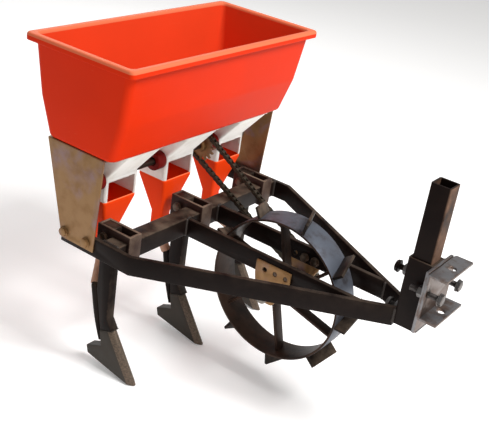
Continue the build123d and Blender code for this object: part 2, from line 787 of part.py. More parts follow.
def sprocket(name, centre, teeth, radius, bore, first_gap):
    """A plate sprocket with a boss towards the middle of the drill."""
    plane = seat(side_plane(chain_y), centre.X, centre.Y)
    boss = ring(plane.offset(sprocket_wall / 2), sprocket_hub, bore, sprocket_boss)
    gap_half = roller_size + seat_gap
    tip_half = gap_half + tooth_flare
    tip = tooth_height + cut_over
    gap_points = [(0, -gap_half), (tip, -tip_half), (tip, tip_half), (0, gap_half)]
    with BuildPart() as wheel:
        with BuildSketch(plane):
            Circle(radius + tooth_height)
            with PolarLocations(radius, teeth, start_angle=degrees(first_gap)):
                Circle(gap_half, mode=Mode.SUBTRACT)
                Polygon(*gap_points, align=None, mode=Mode.SUBTRACT)
            Circle(bore, mode=Mode.SUBTRACT)
        extrude(amount=sprocket_wall / 2, both=True)
        add(boss)
    save(wheel, name)


lower_first = run_length + (link_step - run_length % link_step)
lower_place = chain_place(lower_first) - lower_centre
upper_place = link_places[0] - upper_centre
sprocket("meter_sprocket", upper_centre, upper_teeth, upper_radius, shaft_radius + key_fit,
         atan2(upper_place.Y, upper_place.X))
sprocket("axle_sprocket", lower_centre, lower_teeth, lower_radius, axle_radius + key_fit,
         atan2(lower_place.Y, lower_place.X))

# Seed funnels: a rim under the unit, a taper and a square neck round the hose
for number, y in enumerate(unit_y, 1):
    with BuildPart() as funnel:
        for shrink, mode in ((0, Mode.ADD), (funnel_wall, Mode.SUBTRACT)):
            mouth = (unit_outlet_depth - 2 * shrink, unit_width - 2 * shrink, funnel_radius - shrink)
            neck = (neck_size - 2 * shrink, neck_size - 2 * shrink, neck_radius - shrink)
            with BuildSketch(Plane.XY.offset(unit_z)):
                with Locations((hx + neck_x, y)):
                    RectangleRounded(*mouth)
            extrude(amount=-funnel_rim, mode=mode)
            for level, outline in ((unit_z - funnel_rim, mouth), (taper_bottom, neck)):
                with BuildSketch(Plane.XY.offset(level)):
                    with Locations((hx + neck_x, y)):
                        RectangleRounded(*outline)
            loft(ruled=True, mode=mode)
            with BuildSketch(Plane.XY.offset(taper_bottom)):
                with Locations((hx + neck_x, y)):
                    RectangleRounded(*neck)
            extrude(amount=-neck_length, mode=mode)
    save(funnel, f"seed_funnel_{number}")

# Tine clamps: a collar round the toolbar and the shank, with two set screws
screw_x = hx + (shank_rear + shank_front) / 2
screw_places = [(screw_x, bar_z + screw_inset), (screw_x, bar_top - screw_inset)]
for number, y in enumerate(row_y, 1):
    with BuildPart() as clamp:
        with BuildSketch(Plane.XY.offset(clamp_z)):
            with Locations((hx + (clamp_rear + clamp_front) / 2, y)):
                Rectangle(clamp_front - clamp_rear, 2 * clamp_half)
            with Locations((hx + (clamp_rear + clamp_bridge + clamp_front - clamp_wall) / 2, y)):
                Rectangle(clamp_front - clamp_wall - clamp_rear - clamp_bridge, 2 * (clamp_half - clamp_wall),
                          mode=Mode.SUBTRACT)
        extrude(amount=clamp_height)
        with BuildSketch(side_plane(y)):
            with Locations((hx + toolbar_x, bar_z + toolbar_size / 2)):
                Rectangle(toolbar_size + 2 * slide_gap, toolbar_size + 2 * slide_gap)
        extrude(amount=clamp_half, both=True, mode=Mode.SUBTRACT)
        with BuildSketch(side_plane(y - clamp_half + clamp_wall)):
            with Locations(*screw_places):
                Circle(clamp_screw / 2 + thread_gap)
        extrude(amount=clamp_wall, mode=Mode.SUBTRACT)
    save(clamp, f"tine_clamp_{number}")

clamp_screws = []
for y in row_y:
    for x, z in screw_places:
        head = seat(side_plane(y - clamp_half - screw_stand), x, z)
        clamp_screws.append(bolt(head, clamp_screw, screw_stand + clamp_wall + slide_gap - seat_gap))
group(clamp_screws, "clamp_screws")

# Tines: shank, share, seed boot and hose
share_rear = shank_rear + share_corner_x
share_tip = shank_front + share_reach
rear_slope = share_corner_x / (boot_top - share_corner_z)
front_slope = share_reach / shank_bend


def rear_edge(z):
    """X of the slanting rear edge of a tine at a height."""
    return shank_rear + rear_slope * (boot_top - z)


joint_front = (hx + shank_front + front_slope * (shank_bend - share_joint), share_joint)
joint_rear = (hx + rear_edge(share_joint_rear), share_joint_rear)
shank_points = [
    (hx + shank_rear, bar_top + shank_top),
    (hx + shank_front, bar_top + shank_top),
    (hx + shank_front, shank_bend),
    joint_front,
    joint_rear,
    (hx + shank_rear, boot_top),
]
share_points = [
    joint_front,
    joint_rear,
    (hx + share_rear, share_corner_z),
    (hx + shank_rear - heel_reach, heel_top),
    (hx + shank_rear - heel_reach + heel_rake, heel_low),
    (hx + share_tip, 0),
]
web_points = [
    (hx + boot_x, boot_top),
    (hx + shank_rear, boot_top),
    (hx + rear_edge(boot_low), boot_low),
    (hx + rear_edge(boot_low) - boot_setback, boot_low),
]
mouth_points = [
    (hx + boot_x - 2 * boot_radius, boot_top - boot_radius),
    (hx + boot_x - boot_radius, boot_top - boot_radius),
    (hx + boot_x - boot_radius + boot_mouth, boot_low),
    (hx + share_rear + boot_radius, boot_low),
    (hx + share_rear + boot_radius, 0),
    (hx + boot_x - 2 * boot_radius, 0),
]
boot_way = Vector(rear_slope, 0, -1).normalized()
boot_length = (boot_top - boot_low) * hypot(1, rear_slope) + boot_radius
for number, (y, outlet_y) in enumerate(zip(row_y, unit_y), 1):
    with BuildPart() as shank:
        with BuildSketch(side_plane(y)):
            Polygon(*shank_points, align=None)
        extrude(amount=shank_width / 2, both=True)
    save(shank, f"tine_shank_{number}")

    with BuildPart() as share:
        with BuildSketch(side_plane(y)):
            Polygon(*share_points, align=None)
        extrude(amount=share_width / 2, both=True)
        front_face = share.faces().sort_by(Axis.X)[-1]
        long_edges = front_face.edges().sort_by(Edge.length)[-2:]
        chamfer(long_edges, share_edge)
    save(share, f"furrow_share_{number}")

    elbow = Vector(hx + boot_x, y, boot_top)
    knee = Vector(hx + neck_x, outlet_y, neck_bottom - hose_drop)
    hose_way = (knee - elbow).normalized()
    with BuildPart() as boot:
        with BuildSketch(side_plane(y)):
            Polygon(*web_points, align=None)
        extrude(amount=boot_web / 2, both=True)
        for radius, mode in ((boot_radius, Mode.ADD), (boot_radius - boot_wall, Mode.SUBTRACT)):
            with BuildSketch(Plane(elbow, z_dir=boot_way)):
                Circle(radius)
            extrude(amount=boot_length, mode=mode)
            with BuildSketch(Plane(elbow, z_dir=hose_way)):
                Circle(radius)
            extrude(amount=nipple_length, mode=mode)
            with Locations(elbow):
                Sphere(radius, mode=mode)
        with BuildSketch(side_plane(y)):
            Polygon(*mouth_points, align=None)
        extrude(amount=2 * boot_radius, both=True, mode=Mode.SUBTRACT)
    save(boot, f"seed_boot_{number}")

    hose_foot = elbow + hose_way * nipple_shoulder
    hose_head = Vector(hx + neck_x, outlet_y, neck_bottom + hose_rise)
    with BuildPart() as hose:
        with BuildLine():
            FilletPolyline(hose_foot, knee, hose_head, radius=hose_bend)
        with BuildSketch(Plane(hose_foot, z_dir=hose_way)):
            Circle(hose_radius)
            Circle(hose_radius - hose_wall, mode=Mode.SUBTRACT)
        sweep()
    save(hose, f"seed_hose_{number}")

# Ground wheel
wheel_axis = seat(side_plane(0), hx + axle_x, axle_height)
wheel_face = wheel_axis.offset(-wheel_width / 2)
group([ring(wheel_face, wheel_radius, wheel_radius - rim_plate, wheel_width)], "wheel_rim")

lug_length = (wheel_width - lug_wall * sin(radians(lug_skew))) / cos(radians(lug_skew))
with BuildPart() as wheel_lugs:
    with Locations(wheel_axis.location):
        with PolarLocations(wheel_radius, lug_count, start_angle=lug_phase):
            Box(2 * lug_height, lug_wall, lug_length, rotation=(lug_skew, 0, 0))
    with BuildSketch(wheel_axis):
        Circle(wheel_radius)
    extrude(amount=wheel_width, both=True, mode=Mode.SUBTRACT)
save(wheel_lugs, "wheel_lugs")

spoke_offset = hub_radius + spoke_wall / 2 - spoke_sink
with BuildPart() as wheel_spokes:
    with BuildSketch(wheel_axis):
        with PolarLocations(0, spoke_count, start_angle=spoke_phase):
            with Locations((wheel_radius / 2 - spoke_lap, -spoke_offset)):
                Rectangle(wheel_radius, spoke_wall)
        Circle(wheel_radius - rim_plate, mode=Mode.INTERSECT)
        Circle(hub_radius, mode=Mode.SUBTRACT)
    extrude(amount=spoke_width / 2, both=True)
save(wheel_spokes, "wheel_spokes")

hub_face = wheel_axis.offset(-hub_length / 2)
group([ring(hub_face, hub_radius, axle_radius + key_fit, hub_length)], "wheel_hub")

collar_start = bush_end + seat_gap
axle_right = -collar_start - collar_length - axle_end
axle_left = chain_y + sprocket_wall / 2 + axle_tail
with BuildPart() as axle:
    with BuildSketch(wheel_axis.offset(-axle_left)):
        Circle(axle_radius)
    extrude(amount=axle_left - axle_right)
save(axle, "axle")

axle_collars = []
for side in sides.values():
    collar_face = seat(facing(side * collar_start, side), hx + axle_x, axle_height)
    axle_collars.append(ring(collar_face, axle_collar_radius, axle_radius + key_fit, collar_length))
group(axle_collars, "axle_collars")
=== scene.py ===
"""Looks of a three-row seed drill that is hitched behind a walk-behind tractor.

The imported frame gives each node's place, in metres. A node whose shape is right is shown as a copy with
rounded edges, and the bin, chain, fasteners, hoses and weld beads are modelled here.
"""
import json
from math import asin, atan2, cos, pi, radians, sin, sqrt, tan

import bmesh
import bpy
from bpy.props import FloatProperty, FloatVectorProperty, IntProperty, PointerProperty
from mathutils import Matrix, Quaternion, Vector


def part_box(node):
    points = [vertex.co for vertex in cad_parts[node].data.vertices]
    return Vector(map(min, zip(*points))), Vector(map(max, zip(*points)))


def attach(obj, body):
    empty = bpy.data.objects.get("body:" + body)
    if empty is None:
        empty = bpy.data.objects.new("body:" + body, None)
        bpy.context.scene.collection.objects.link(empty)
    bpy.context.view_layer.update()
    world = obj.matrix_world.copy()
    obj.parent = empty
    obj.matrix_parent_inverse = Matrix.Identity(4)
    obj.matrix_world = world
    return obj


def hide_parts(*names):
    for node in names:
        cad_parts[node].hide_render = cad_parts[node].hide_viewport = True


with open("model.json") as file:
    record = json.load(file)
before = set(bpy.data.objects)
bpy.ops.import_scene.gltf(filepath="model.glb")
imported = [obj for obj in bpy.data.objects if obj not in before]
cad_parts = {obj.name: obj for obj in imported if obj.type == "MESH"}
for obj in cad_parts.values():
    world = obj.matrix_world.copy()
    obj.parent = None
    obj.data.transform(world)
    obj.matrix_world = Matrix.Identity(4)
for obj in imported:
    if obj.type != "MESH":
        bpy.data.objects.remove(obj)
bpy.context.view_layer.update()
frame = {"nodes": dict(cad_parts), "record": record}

bl_info = {
    "name": "Three-row seed drill",
    "version": (1, 0, 0),
    "blender": (4, 5, 0),
    "location": "3D View > Sidebar > Seed drill",
    "description": "Finishes and fine pieces of a hitched seed drill round its packed frame",
    "category": "Object",
}

MM = 0.001
WELD_TOGETHER = 1e-5            # points nearer than this are one point
FLAT_ANGLE = radians(1.0)       # faces this near to flat are one face
EDGE_ANGLE = radians(30.0)      # sharper edges are rounded
SHARP_ANGLE = radians(38.0)     # sharper edges stay crisp in the shading
PARALLEL = 0.98                 # least share of an edge's length that lies along an axis
WIDE_STEPS = 4                  # faces round a large rounding
EDGE_STEPS = 2                  # faces round a small rounding
ROWS = (1, 2, 3)
SIDES = ("right", "left")

record = frame["record"]
slot_of = {row["node"]: row["material_slot"] for row in record["subparts"]}
body_of = {node: body for body, nodes in record["behaviour"]["bodies"].items() for node in nodes}


def linear(code):
    """Linear colour of an sRGB hex value."""
    shares = [int(code[place:place + 2], 16) / 255 for place in (0, 2, 4)]
    return (*[s / 12.92 if s <= 0.04045 else ((s + 0.055) / 1.055) ** 2.4 for s in shares], 1.0)


def size(name, description, millimetres):
    """A length that a user may change."""
    return FloatProperty(name=name, description=description, default=millimetres * MM, unit="LENGTH",
                         precision=4)


def colour(name, description, code):
    """A colour that a user may change."""
    return FloatVectorProperty(name=name, description=description, default=linear(code), size=4,
                               subtype="COLOR", min=0.0, max=1.0)


def swing(name, description, degrees):
    """An angle that a user may change."""
    return FloatProperty(name=name, description=description, default=radians(degrees), subtype="ANGLE")


class BinSettings(bpy.types.PropertyGroup):
    """Moulded bin, funnels and metering units"""
    wall: size("Wall", "Thickness of the bin's wall", 4.0)
    rim_drop: size("Rim drop", "Height of the folded rim", 15.0)
    rim_reach: size("Rim reach", "Rim's edge to the wall below it", 11.0)
    rim_corner: size("Rim corner", "Upright corners of the rim", 9.6)
    bead_round: size("Bead rounding", "Rounding of the rim's upper edges", 6.0)
    lip_round: size("Lip rounding", "Rounding of the rim's lower edges", 1.8)
    under_round: size("Rounding under the rim", "Wall to the underside of the rim", 3.0)
    fold_round: size("Fold rounding", "Underside of the rim to its fold", 2.0)
    crease_round: size("Crease rounding", "Rounding of the creases in the walls", 5.0)
    crease_lift: size("Crease height", "Floor to the crease in the walls", 80.0)
    crease_front: size("Crease inset front", "Rim's edge to the crease at the front", 27.0)
    crease_side: size("Crease inset side", "Rim's edge to the crease at the ends", 16.0)
    floor_front: size("Floor inset front", "Rim's edge to the floor at the front", 51.0)
    floor_side: size("Floor inset side", "Rim's edge to the floor at the ends", 21.0)
    floor_round: size("Floor rounding", "Rounding between the walls and the floor", 9.0)
    corner_round: size("Corner rounding", "Upright corners of the bin", 16.0)
    port_width: size("Port width", "Seed port across the bin", 32.0)
    port_length: size("Port length", "Seed port along the bin", 76.0)
    port_corner: size("Port corner", "Corners of a seed port", 3.0)
    moulded_edge: size("Moulded edge", "Rounding of moulded edges", 1.2)
    knee_round: size("Knee rounding", "Rounding of a unit's sloping front", 5.0)
    unit_edge: size("Unit edge", "Rounding of a unit's thin edges", 0.5)
    # Brighter than the bin: the funnels' orange with painted light, as they sit in the bin's shadow.
    funnel_and_light_colour: colour("Funnels", "Polyethylene of the funnels", "F0400E")
    bin_colour: colour("Bin", "Polyethylene of the bin", "D42D06")
    unit_colour: colour("Units", "Plastic of the metering units", "F6F2EC")
    # Dark red: the sleeves' red darkened to paint the shade they sit in under the bin.
    sleeve_and_shade_colour: colour("Sleeves", "Nylon of the cut-off sleeves", "6E0E08")


class FrameSettings(bpy.types.PropertyGroup):
    """Bars, tines, wheel and hitch"""
    bar_edge: size("Bar edge", "Rounding of rolled bar", 1.2)
    shank_edge: size("Shank edge", "Rounding of a tine's shank", 1.92)
    wheel_edge: size("Wheel edge", "Rounding of the wheel's edges", 0.96)
    toolbar_edge: size("Toolbar edge", "Rounding along the toolbar", 2.4)
    tube_edge: size("Socket edge", "Rounding along the hitch socket", 4.0)
    tube_end: size("Socket end", "Rounding of the hitch socket's ends", 0.3)
    sheet_edge: size("Sheet edge", "Rounding of cut sheet", 0.6)
    boot_edge: size("Boot edge", "Rounding of a seed boot's thin wall", 0.36)
    fold_round: size("Channel fold", "Outside of the channel's folds", 4.0)
    plate_fold: size("Plate fold", "Outside of a side plate's fold", 2.0)
    bend_round: size("Bend rounding", "Bend of a side bar", 14.0)
    share_edge: size("Share edge", "Rounding of a worn share", 1.6)
    bead: size("Weld bead", "Half width of a weld bead", 3.2)
    lug_bead: size("Lug bead", "Half width of a weld bead at a lug", 1.92)
    share_bead: size("Share bead", "Half width of a weld bead at a share", 1.28)
    ripple: size("Weld ripple", "Spacing of the ripples in a bead", 4.0)
    paint_colour: colour("Paint", "Black enamel of the frame", "140C0A")
    # Rust, soil and painted light on the post's front faces.
    front_rust_and_light_colour: colour("Rubbed paint", "Rust and soil on the front of the post", "755A4A")
    # Soil colour, made dark to paint the shade inside the rim.
    soil_and_shade_colour: colour("Soil", "Damp soil that sticks to the wheel", "3E2D24")
    # Dust colour, also painted on as light on the faces toward the key light.
    dust_and_light_colour: colour("Dust", "Dry soil on the upper faces", "6E5E50")
    share_colour: colour("Shares", "Forged steel of the shares", "332D26")
    wheel_colour: colour("Wheel", "Paint of the ground wheel", "1D1714")
    # Grey steel with a blue tint that paints the sky's reflection.
    scoured_and_sky_colour: colour("Scoured rim", "Steel where soil has rubbed the paint off", "5C616B")
    gold_colour: colour("Yellow zinc", "Passivated zinc of the plates", "8E6C46")
    violet_colour: colour("Violet zinc", "Shimmer in the passivated zinc", "85707A")
    zinc_colour: colour("Bright zinc", "Plating of the hitch's bolts", "6C6966")
    rusty_colour: colour("Rusty bolts", "Plating of the bolts in the soil", "5C4E42")
    aged_colour: colour("Aged zinc", "Plating of the hitch's plate and channel", "827F7E")
    hose_colour: colour("Hose", "Soft plastic of the seed hoses", "B58A70")


class ChainSettings(bpy.types.PropertyGroup):
    """Roller chain between the sprockets"""
    pitch: size("Pitch", "Between two rollers", 12.7)
    upper_teeth: IntProperty(name="Upper teeth", description="Teeth on the metering shaft", default=16)
    lower_teeth: IntProperty(name="Lower teeth", description="Teeth on the axle", default=12)
    roller: size("Roller radius", "Outside of a roller", 4.2)
    plate_half: size("Plate half height", "Half the height of a link plate", 4.6)
    waist_half: size("Waist half height", "Half the height of a link plate at its middle", 3.5)
    plate_wall: size("Plate thickness", "Thickness of a link plate", 1.1)
    inner_gap: size("Inner gap", "Middle of the chain to its inner plates", 3.4)
    pin: size("Pin radius", "Rivet pins through the plates", 2.0)
    pin_stand: size("Pin stand", "Pins past the outer plates", 0.7)


class HoseSettings(bpy.types.PropertyGroup):
    """Seed hoses from the funnels to the boots"""
    radius: size("Radius", "Outside of a hose", 11.0)
    wall: size("Wall", "Thickness of a hose", 1.9)
    drop: size("Drop", "Neck's end to the knee of the hose", 14.0)
    held: size("Held length", "Straight part of the hose in the neck", 8.0)
    boot_top: size("Boot top", "Elbow of a boot over the ground", 184.0)
    boot_setback: size("Boot setback", "Elbow of a boot behind its shank", 14.0)
    shoulder: size("Shoulder", "Hose's lower end to the elbow", 4.0)


class StageSettings(bpy.types.PropertyGroup):
    """Floor, lights and camera"""
    lens: FloatProperty(name="Lens", description="Focal length in millimetres", default=67.53)
    azimuth: swing("Azimuth", "Way round the drill", 32.78)
    elevation: swing("Elevation", "Over the horizon", 25.51)
    roll: swing("Roll", "Tilt of the picture", 9.06)
    floor_colour: colour("Floor", "Plain pale floor", "FCFBFA")


NOISE = "ShaderNodeTexNoise"
RANGE = "ShaderNodeMapRange"
MATH = "ShaderNodeMath"
DOT = "ShaderNodeVectorMath"
STRETCH = "ShaderNodeMapping"
LAYER = "ShaderNodeAttribute"
BUMP = "ShaderNodeBump"
MIX = "ShaderNodeMix"
FACTOR, FIRST, SECOND, MIXED = 0, 6, 7, 2       # a mix of colours: its factor, both colours and its output
SMOOTH = {"interpolation_type": "SMOOTHSTEP"}
COLOURS = {"data_type": "RGBA"}
PRODUCT = {"operation": "MULTIPLY"}
ALONG = {"operation": "DOT_PRODUCT"}
DUST_AND_LIGHT_SIDE = (0.5, 0.0, 0.866)                   # dust, and painted light of the key light, on what looks up and forward
TOP_DUST_AND_LIGHT_SIDE = (0.2, 0.0, 0.98)                     # dust, and painted light, on what looks up
FRONT_RUST_AND_LIGHT_SIDE = (1.0, 0.0, 0.0)                    # rust, soil and painted light on what faces forward
RUST_AND_SHADE_FORWARD = (0.3, 0.0, 0.0)                  # how much more rust and painted shade there is on what faces forward


def add(tree, kind, settings=None, inputs=None, out=0, feeds=None):
    """Add a shader node with its settings and its inputs, each a value or a socket, and give one output.

    Feeds names the socket of the shader that the output is linked to.
    """
    made = tree.nodes.new(kind)
    for key, value in (settings or {}).items():
        setattr(made, key, value)
    for key, value in (inputs or {}).items():
        if isinstance(value, bpy.types.NodeSocket):
            tree.links.new(value, made.inputs[key])
        else:
            made.inputs[key].default_value = value
    given = made.outputs[MIXED if kind == MIX else out]
    if feeds:
        tree.links.new(given, tree.nodes["Principled BSDF"].inputs[feeds])
    return given


def per(millimetres):
    """Texture scale of a pattern whose features are that large."""
    return 1 / (millimetres * MM)


def tint(rgba, *shares):
    """A colour made lighter or darker, by one share or by a share each for red, green and blue."""
    shares = shares * 3 if len(shares) == 1 else shares
    return (*[min(1.0, part * share) for part, share in zip(rgba, shares)], 1.0)


def new_material(name, **values):
    """A material with its shader's plain values, with its node tree and the mesh's own coordinates."""
    material = bpy.data.materials.new(name)
    material.use_nodes = True
    tree = material.node_tree
    shader = tree.nodes["Principled BSDF"]
    for key, value in values.items():
        shader.inputs[key.replace("_", " ").title().replace("Ior", "IOR")].default_value = value
    return material, tree, add(tree, "ShaderNodeTexCoord", out="Object")


def dress(tree, colours, dull, relief=None):
    """Give a material's shader its colour, its roughness and its relief.

    Colours holds a pattern and the two colours that it mixes, dull a pattern and the roughness at its ends,
    and relief a pattern, its strength and its height in millimetres.
    """
    add(tree, MIX, COLOURS, dict(zip((FACTOR, FIRST, SECOND), colours)), feeds="Base Color")
    add(tree, RANGE, inputs=dict(zip(("Value", "To Min", "To Max"), dull)), feeds="Roughness")
    if relief:
        pattern, strength, height = relief
        add(tree, BUMP, inputs={"Height": pattern, "Strength": strength, "Distance": height * MM},
            feeds="Normal")


def moulded_polyethylene(name, base):
    """Moulded polyethylene: an even satin red with faint clouds, fine peel, chalky rubs and, where the edge
    layer is set, a paler painted highlight.
    """
    material, tree, place = new_material(name, ior=1.51, specular_ior_level=0.05)
    clouds = add(tree, NOISE, inputs={"Vector": place, "Scale": per(140), "Detail": 3.0})
    peel = add(tree, NOISE, inputs={"Vector": place, "Scale": per(2.5), "Detail": 2.0})
    long_way = add(tree, STRETCH, inputs={"Vector": place, "Scale": (1.0, 0.25, 2.5)})
    rubs = add(tree, NOISE, inputs={"Vector": long_way, "Scale": per(18), "Detail": 8.0, "Roughness": 0.72})
    rubbed = add(tree, RANGE, SMOOTH, {"Value": rubs, "From Min": 0.6, "From Max": 0.82, "To Max": 0.35})
    edge = add(tree, LAYER, {"attribute_name": "edge"}, out="Fac")
    # Paler colour on the chalky rubs, and a painted highlight where the edge layer is set: the bin's rim
    # and rounded edges.
    chalk_and_highlight = add(tree, MATH, {"operation": "MULTIPLY_ADD", "use_clamp": True}, {0: edge, 1: 0.8, 2: rubbed})
    body = add(tree, MIX, COLOURS, {FACTOR: clouds, FIRST: tint(base, 0.88), SECOND: tint(base, 1.08)})
    # The paler colour serves both the rubs and the painted highlight.
    paler = (base[0], base[1] + 0.15, base[2] + 0.08, 1.0)
    dress(tree, (chalk_and_highlight, body, paler), (clouds, 0.36, 0.52), (peel, 0.22, 0.2))
    return material


def moulded_abs(base):
    """Injection-moulded ABS: warm white, smooth, with a little grey dust settled in soft patches."""
    material, tree, place = new_material("moulded_abs", ior=1.53)
    dust = add(tree, NOISE, inputs={"Vector": place, "Scale": per(45), "Detail": 5.0, "Roughness": 0.6})
    settled = add(tree, RANGE, SMOOTH, {"Value": dust, "From Min": 0.42, "From Max": 0.75, "To Max": 0.4})
    grain = add(tree, NOISE, inputs={"Vector": place, "Scale": per(1.6), "Detail": 2.0})
    grey = tint(base, 0.62, 0.56, 0.48)
    dress(tree, (settled, tuple(base), grey), (dust, 0.3, 0.55), (grain, 0.15, 0.1))
    return material


def shaded_moulded_nylon(base):
    """Injection-moulded nylon: deep red darkened as painted shade, satin, with fine grey dust that dulls it
    in patches.
    """
    material, tree, place = new_material("shaded_moulded_nylon", ior=1.53, specular_ior_level=0.1)
    dust = add(tree, NOISE, inputs={"Vector": place, "Scale": per(12), "Detail": 5.0, "Roughness": 0.65})
    dress(tree, (dust, tint(base, 0.7), tint(base, 1.3)), (dust, 0.35, 0.65))
    return material


def dusty_enamel(name, base, dust, chips, dust_and_light_share, side=DUST_AND_LIGHT_SIDE):
    """Sprayed alkyd enamel on rolled steel: near black and dull, chipped at the edges, with dust and
    painted light on the lit faces.

    Chips is how bare the chipped edges are, side the way that the dusted faces look, and the share after it
    how much dust colour they take; on faces toward the key light that colour is partly painted light.
    """
    material, tree, place = new_material(name, ior=1.5, specular_ior_level=0.08)
    runs = add(tree, NOISE, inputs={"Vector": place, "Scale": per(55), "Detail": 6.0, "Roughness": 0.62})
    grit = add(tree, NOISE, inputs={"Vector": place, "Scale": per(6), "Detail": 5.0, "Roughness": 0.7})
    facing = add(tree, DOT, ALONG, {0: place.node.outputs["Normal"], 1: side}, out="Value")
    dust_and_light_mask = add(tree, RANGE, SMOOTH, {
        "Value": facing, "From Min": 0.15, "From Max": 0.95, "To Min": 0.02, "To Max": dust_and_light_share})
    patches = add(tree, RANGE, SMOOTH, {"Value": runs, "From Min": 0.3, "From Max": 0.68})
    # Dust in patches on the faces toward the key light; the paler colour there is partly painted light.
    settled = add(tree, MATH, PRODUCT, {0: dust_and_light_mask, 1: patches})
    edge = add(tree, LAYER, {"attribute_name": "edge"}, out="Fac")
    broken = add(tree, RANGE, SMOOTH, {"Value": grit, "From Min": 0.52, "From Max": 0.66, "To Max": chips})
    worn = add(tree, MATH, PRODUCT, {0: edge, 1: broken})
    coat = add(tree, MIX, COLOURS, {FACTOR: runs, FIRST: tint(base, 0.7), SECOND: tint(base, 1.5)})
    dusted_and_lit = add(tree, MIX, COLOURS, {FACTOR: settled, FIRST: coat, SECOND: tuple(dust)})
    steel = tint(dust, 1.3, 1.25, 1.2)
    dress(tree, (worn, dusted_and_lit, steel), (settled, 0.38, 0.85), (grit, 0.25, 0.3))
    return material


def worn_and_lit_wheel_enamel(base, soil_and_shade_colour, scoured_and_sky_colour):
    """Brushed enamel on a rolled rim: black in the corners, with soil darkened as painted shade, scoured to
    grey steel on the tread, tinted blue as a painted sky reflection and strongest toward the light.
    """
    material, tree, place = new_material("worn_and_lit_wheel_enamel", ior=1.5, specular_ior_level=0.12)
    runs = add(tree, NOISE, inputs={"Vector": place, "Scale": per(48), "Detail": 6.0, "Roughness": 0.62})
    grit = add(tree, NOISE, inputs={"Vector": place, "Scale": per(7), "Detail": 5.0, "Roughness": 0.7})
    worn = add(tree, LAYER, {"attribute_name": "worn"}, out="Fac")
    patches = add(tree, RANGE, SMOOTH, {
        "Value": runs, "From Min": 0.32, "From Max": 0.55, "To Min": 0.25, "To Max": 0.95})
    # Scoured steel in patches on the tread; its blue tint is a painted sky reflection.
    scoured = add(tree, MATH, PRODUCT, {0: worn, 1: patches})
    # Soil in patches; its dark colour also paints the shade inside the rim.
    soil = add(tree, RANGE, SMOOTH, {"Value": runs, "From Min": 0.25, "From Max": 0.6, "To Max": 0.9})
    coat = add(tree, MIX, COLOURS, {FACTOR: grit, FIRST: tint(base, 0.6), SECOND: tint(base, 1.5)})
    dirty = add(tree, MIX, COLOURS, {FACTOR: soil, FIRST: coat, SECOND: tuple(soil_and_shade_colour)})
    add(tree, RANGE, inputs={"Value": scoured, "To Max": 0.5}, feeds="Metallic")
    dress(tree, (scoured, dirty, tuple(scoured_and_sky_colour)), (grit, 0.3, 0.65), (grit, 0.3, 0.4))
    return material


def forged_share_steel(base, dust):
    """Forged spring steel: dark scale on the sides, pale at the cutting front, partly scour and partly
    painted light, with drag marks.
    """
    material, tree, place = new_material("forged_share_steel", metallic=0.55)
    worn = add(tree, LAYER, {"attribute_name": "worn"}, out="Fac")
    along = add(tree, STRETCH, inputs={
        "Vector": place, "Rotation": (0.0, radians(52.0), 0.0), "Scale": (0.08, 1.0, 1.0)})
    drag = add(tree, NOISE, inputs={"Vector": along, "Scale": per(3), "Detail": 5.0, "Roughness": 0.65})
    scale = add(tree, NOISE, inputs={"Vector": place, "Scale": per(22), "Detail": 6.0, "Roughness": 0.65})
    streaked = add(tree, RANGE, SMOOTH, {
        "Value": drag, "From Min": 0.35, "From Max": 0.7, "To Min": 0.35, "To Max": 1.0})
    # Pale on the faces that look forward: scour, and painted light.
    scoured = add(tree, MATH, PRODUCT, {0: worn, 1: streaked})
    dark = add(tree, MIX, COLOURS, {FACTOR: scale, FIRST: tint(base, 0.7), SECOND: tint(base, 1.5)})
    dress(tree, (scoured, dark, tint(dust, 1.15)), (scale, 0.4, 0.7), (scale, 0.3, 0.4))
    return material


def yellow_passivated_zinc(base, shimmer):
    """Zinc plate under yellow passivation: tan-olive with violet and straw clouds and rolling lines."""
    material, tree, place = new_material("yellow_passivated_zinc", metallic=0.62)
    clouds = add(tree, NOISE, inputs={"Vector": place, "Scale": per(75), "Detail": 4.0, "Distortion": 0.6})
    stains = add(tree, NOISE, inputs={"Vector": place, "Scale": per(24), "Detail": 6.0, "Roughness": 0.65})
    flat_way = add(tree, STRETCH, inputs={"Vector": place, "Scale": (1.0, 1.0, 0.05)})
    rolled = add(tree, NOISE, inputs={"Vector": flat_way, "Scale": per(2), "Detail": 3.0})
    violet = add(tree, RANGE, SMOOTH, {"Value": clouds, "From Min": 0.46, "From Max": 0.68, "To Max": 0.7})
    straw = add(tree, RANGE, SMOOTH, {"Value": stains, "From Min": 0.42, "From Max": 0.72, "To Max": 0.5})
    tinted = add(tree, MIX, COLOURS, {FACTOR: violet, FIRST: tuple(base), SECOND: tuple(shimmer)})
    brown = tint(base, 0.72, 0.62, 0.42)
    dress(tree, (straw, tinted, brown), (stains, 0.34, 0.6), (rolled, 0.12, 0.1))
    return material


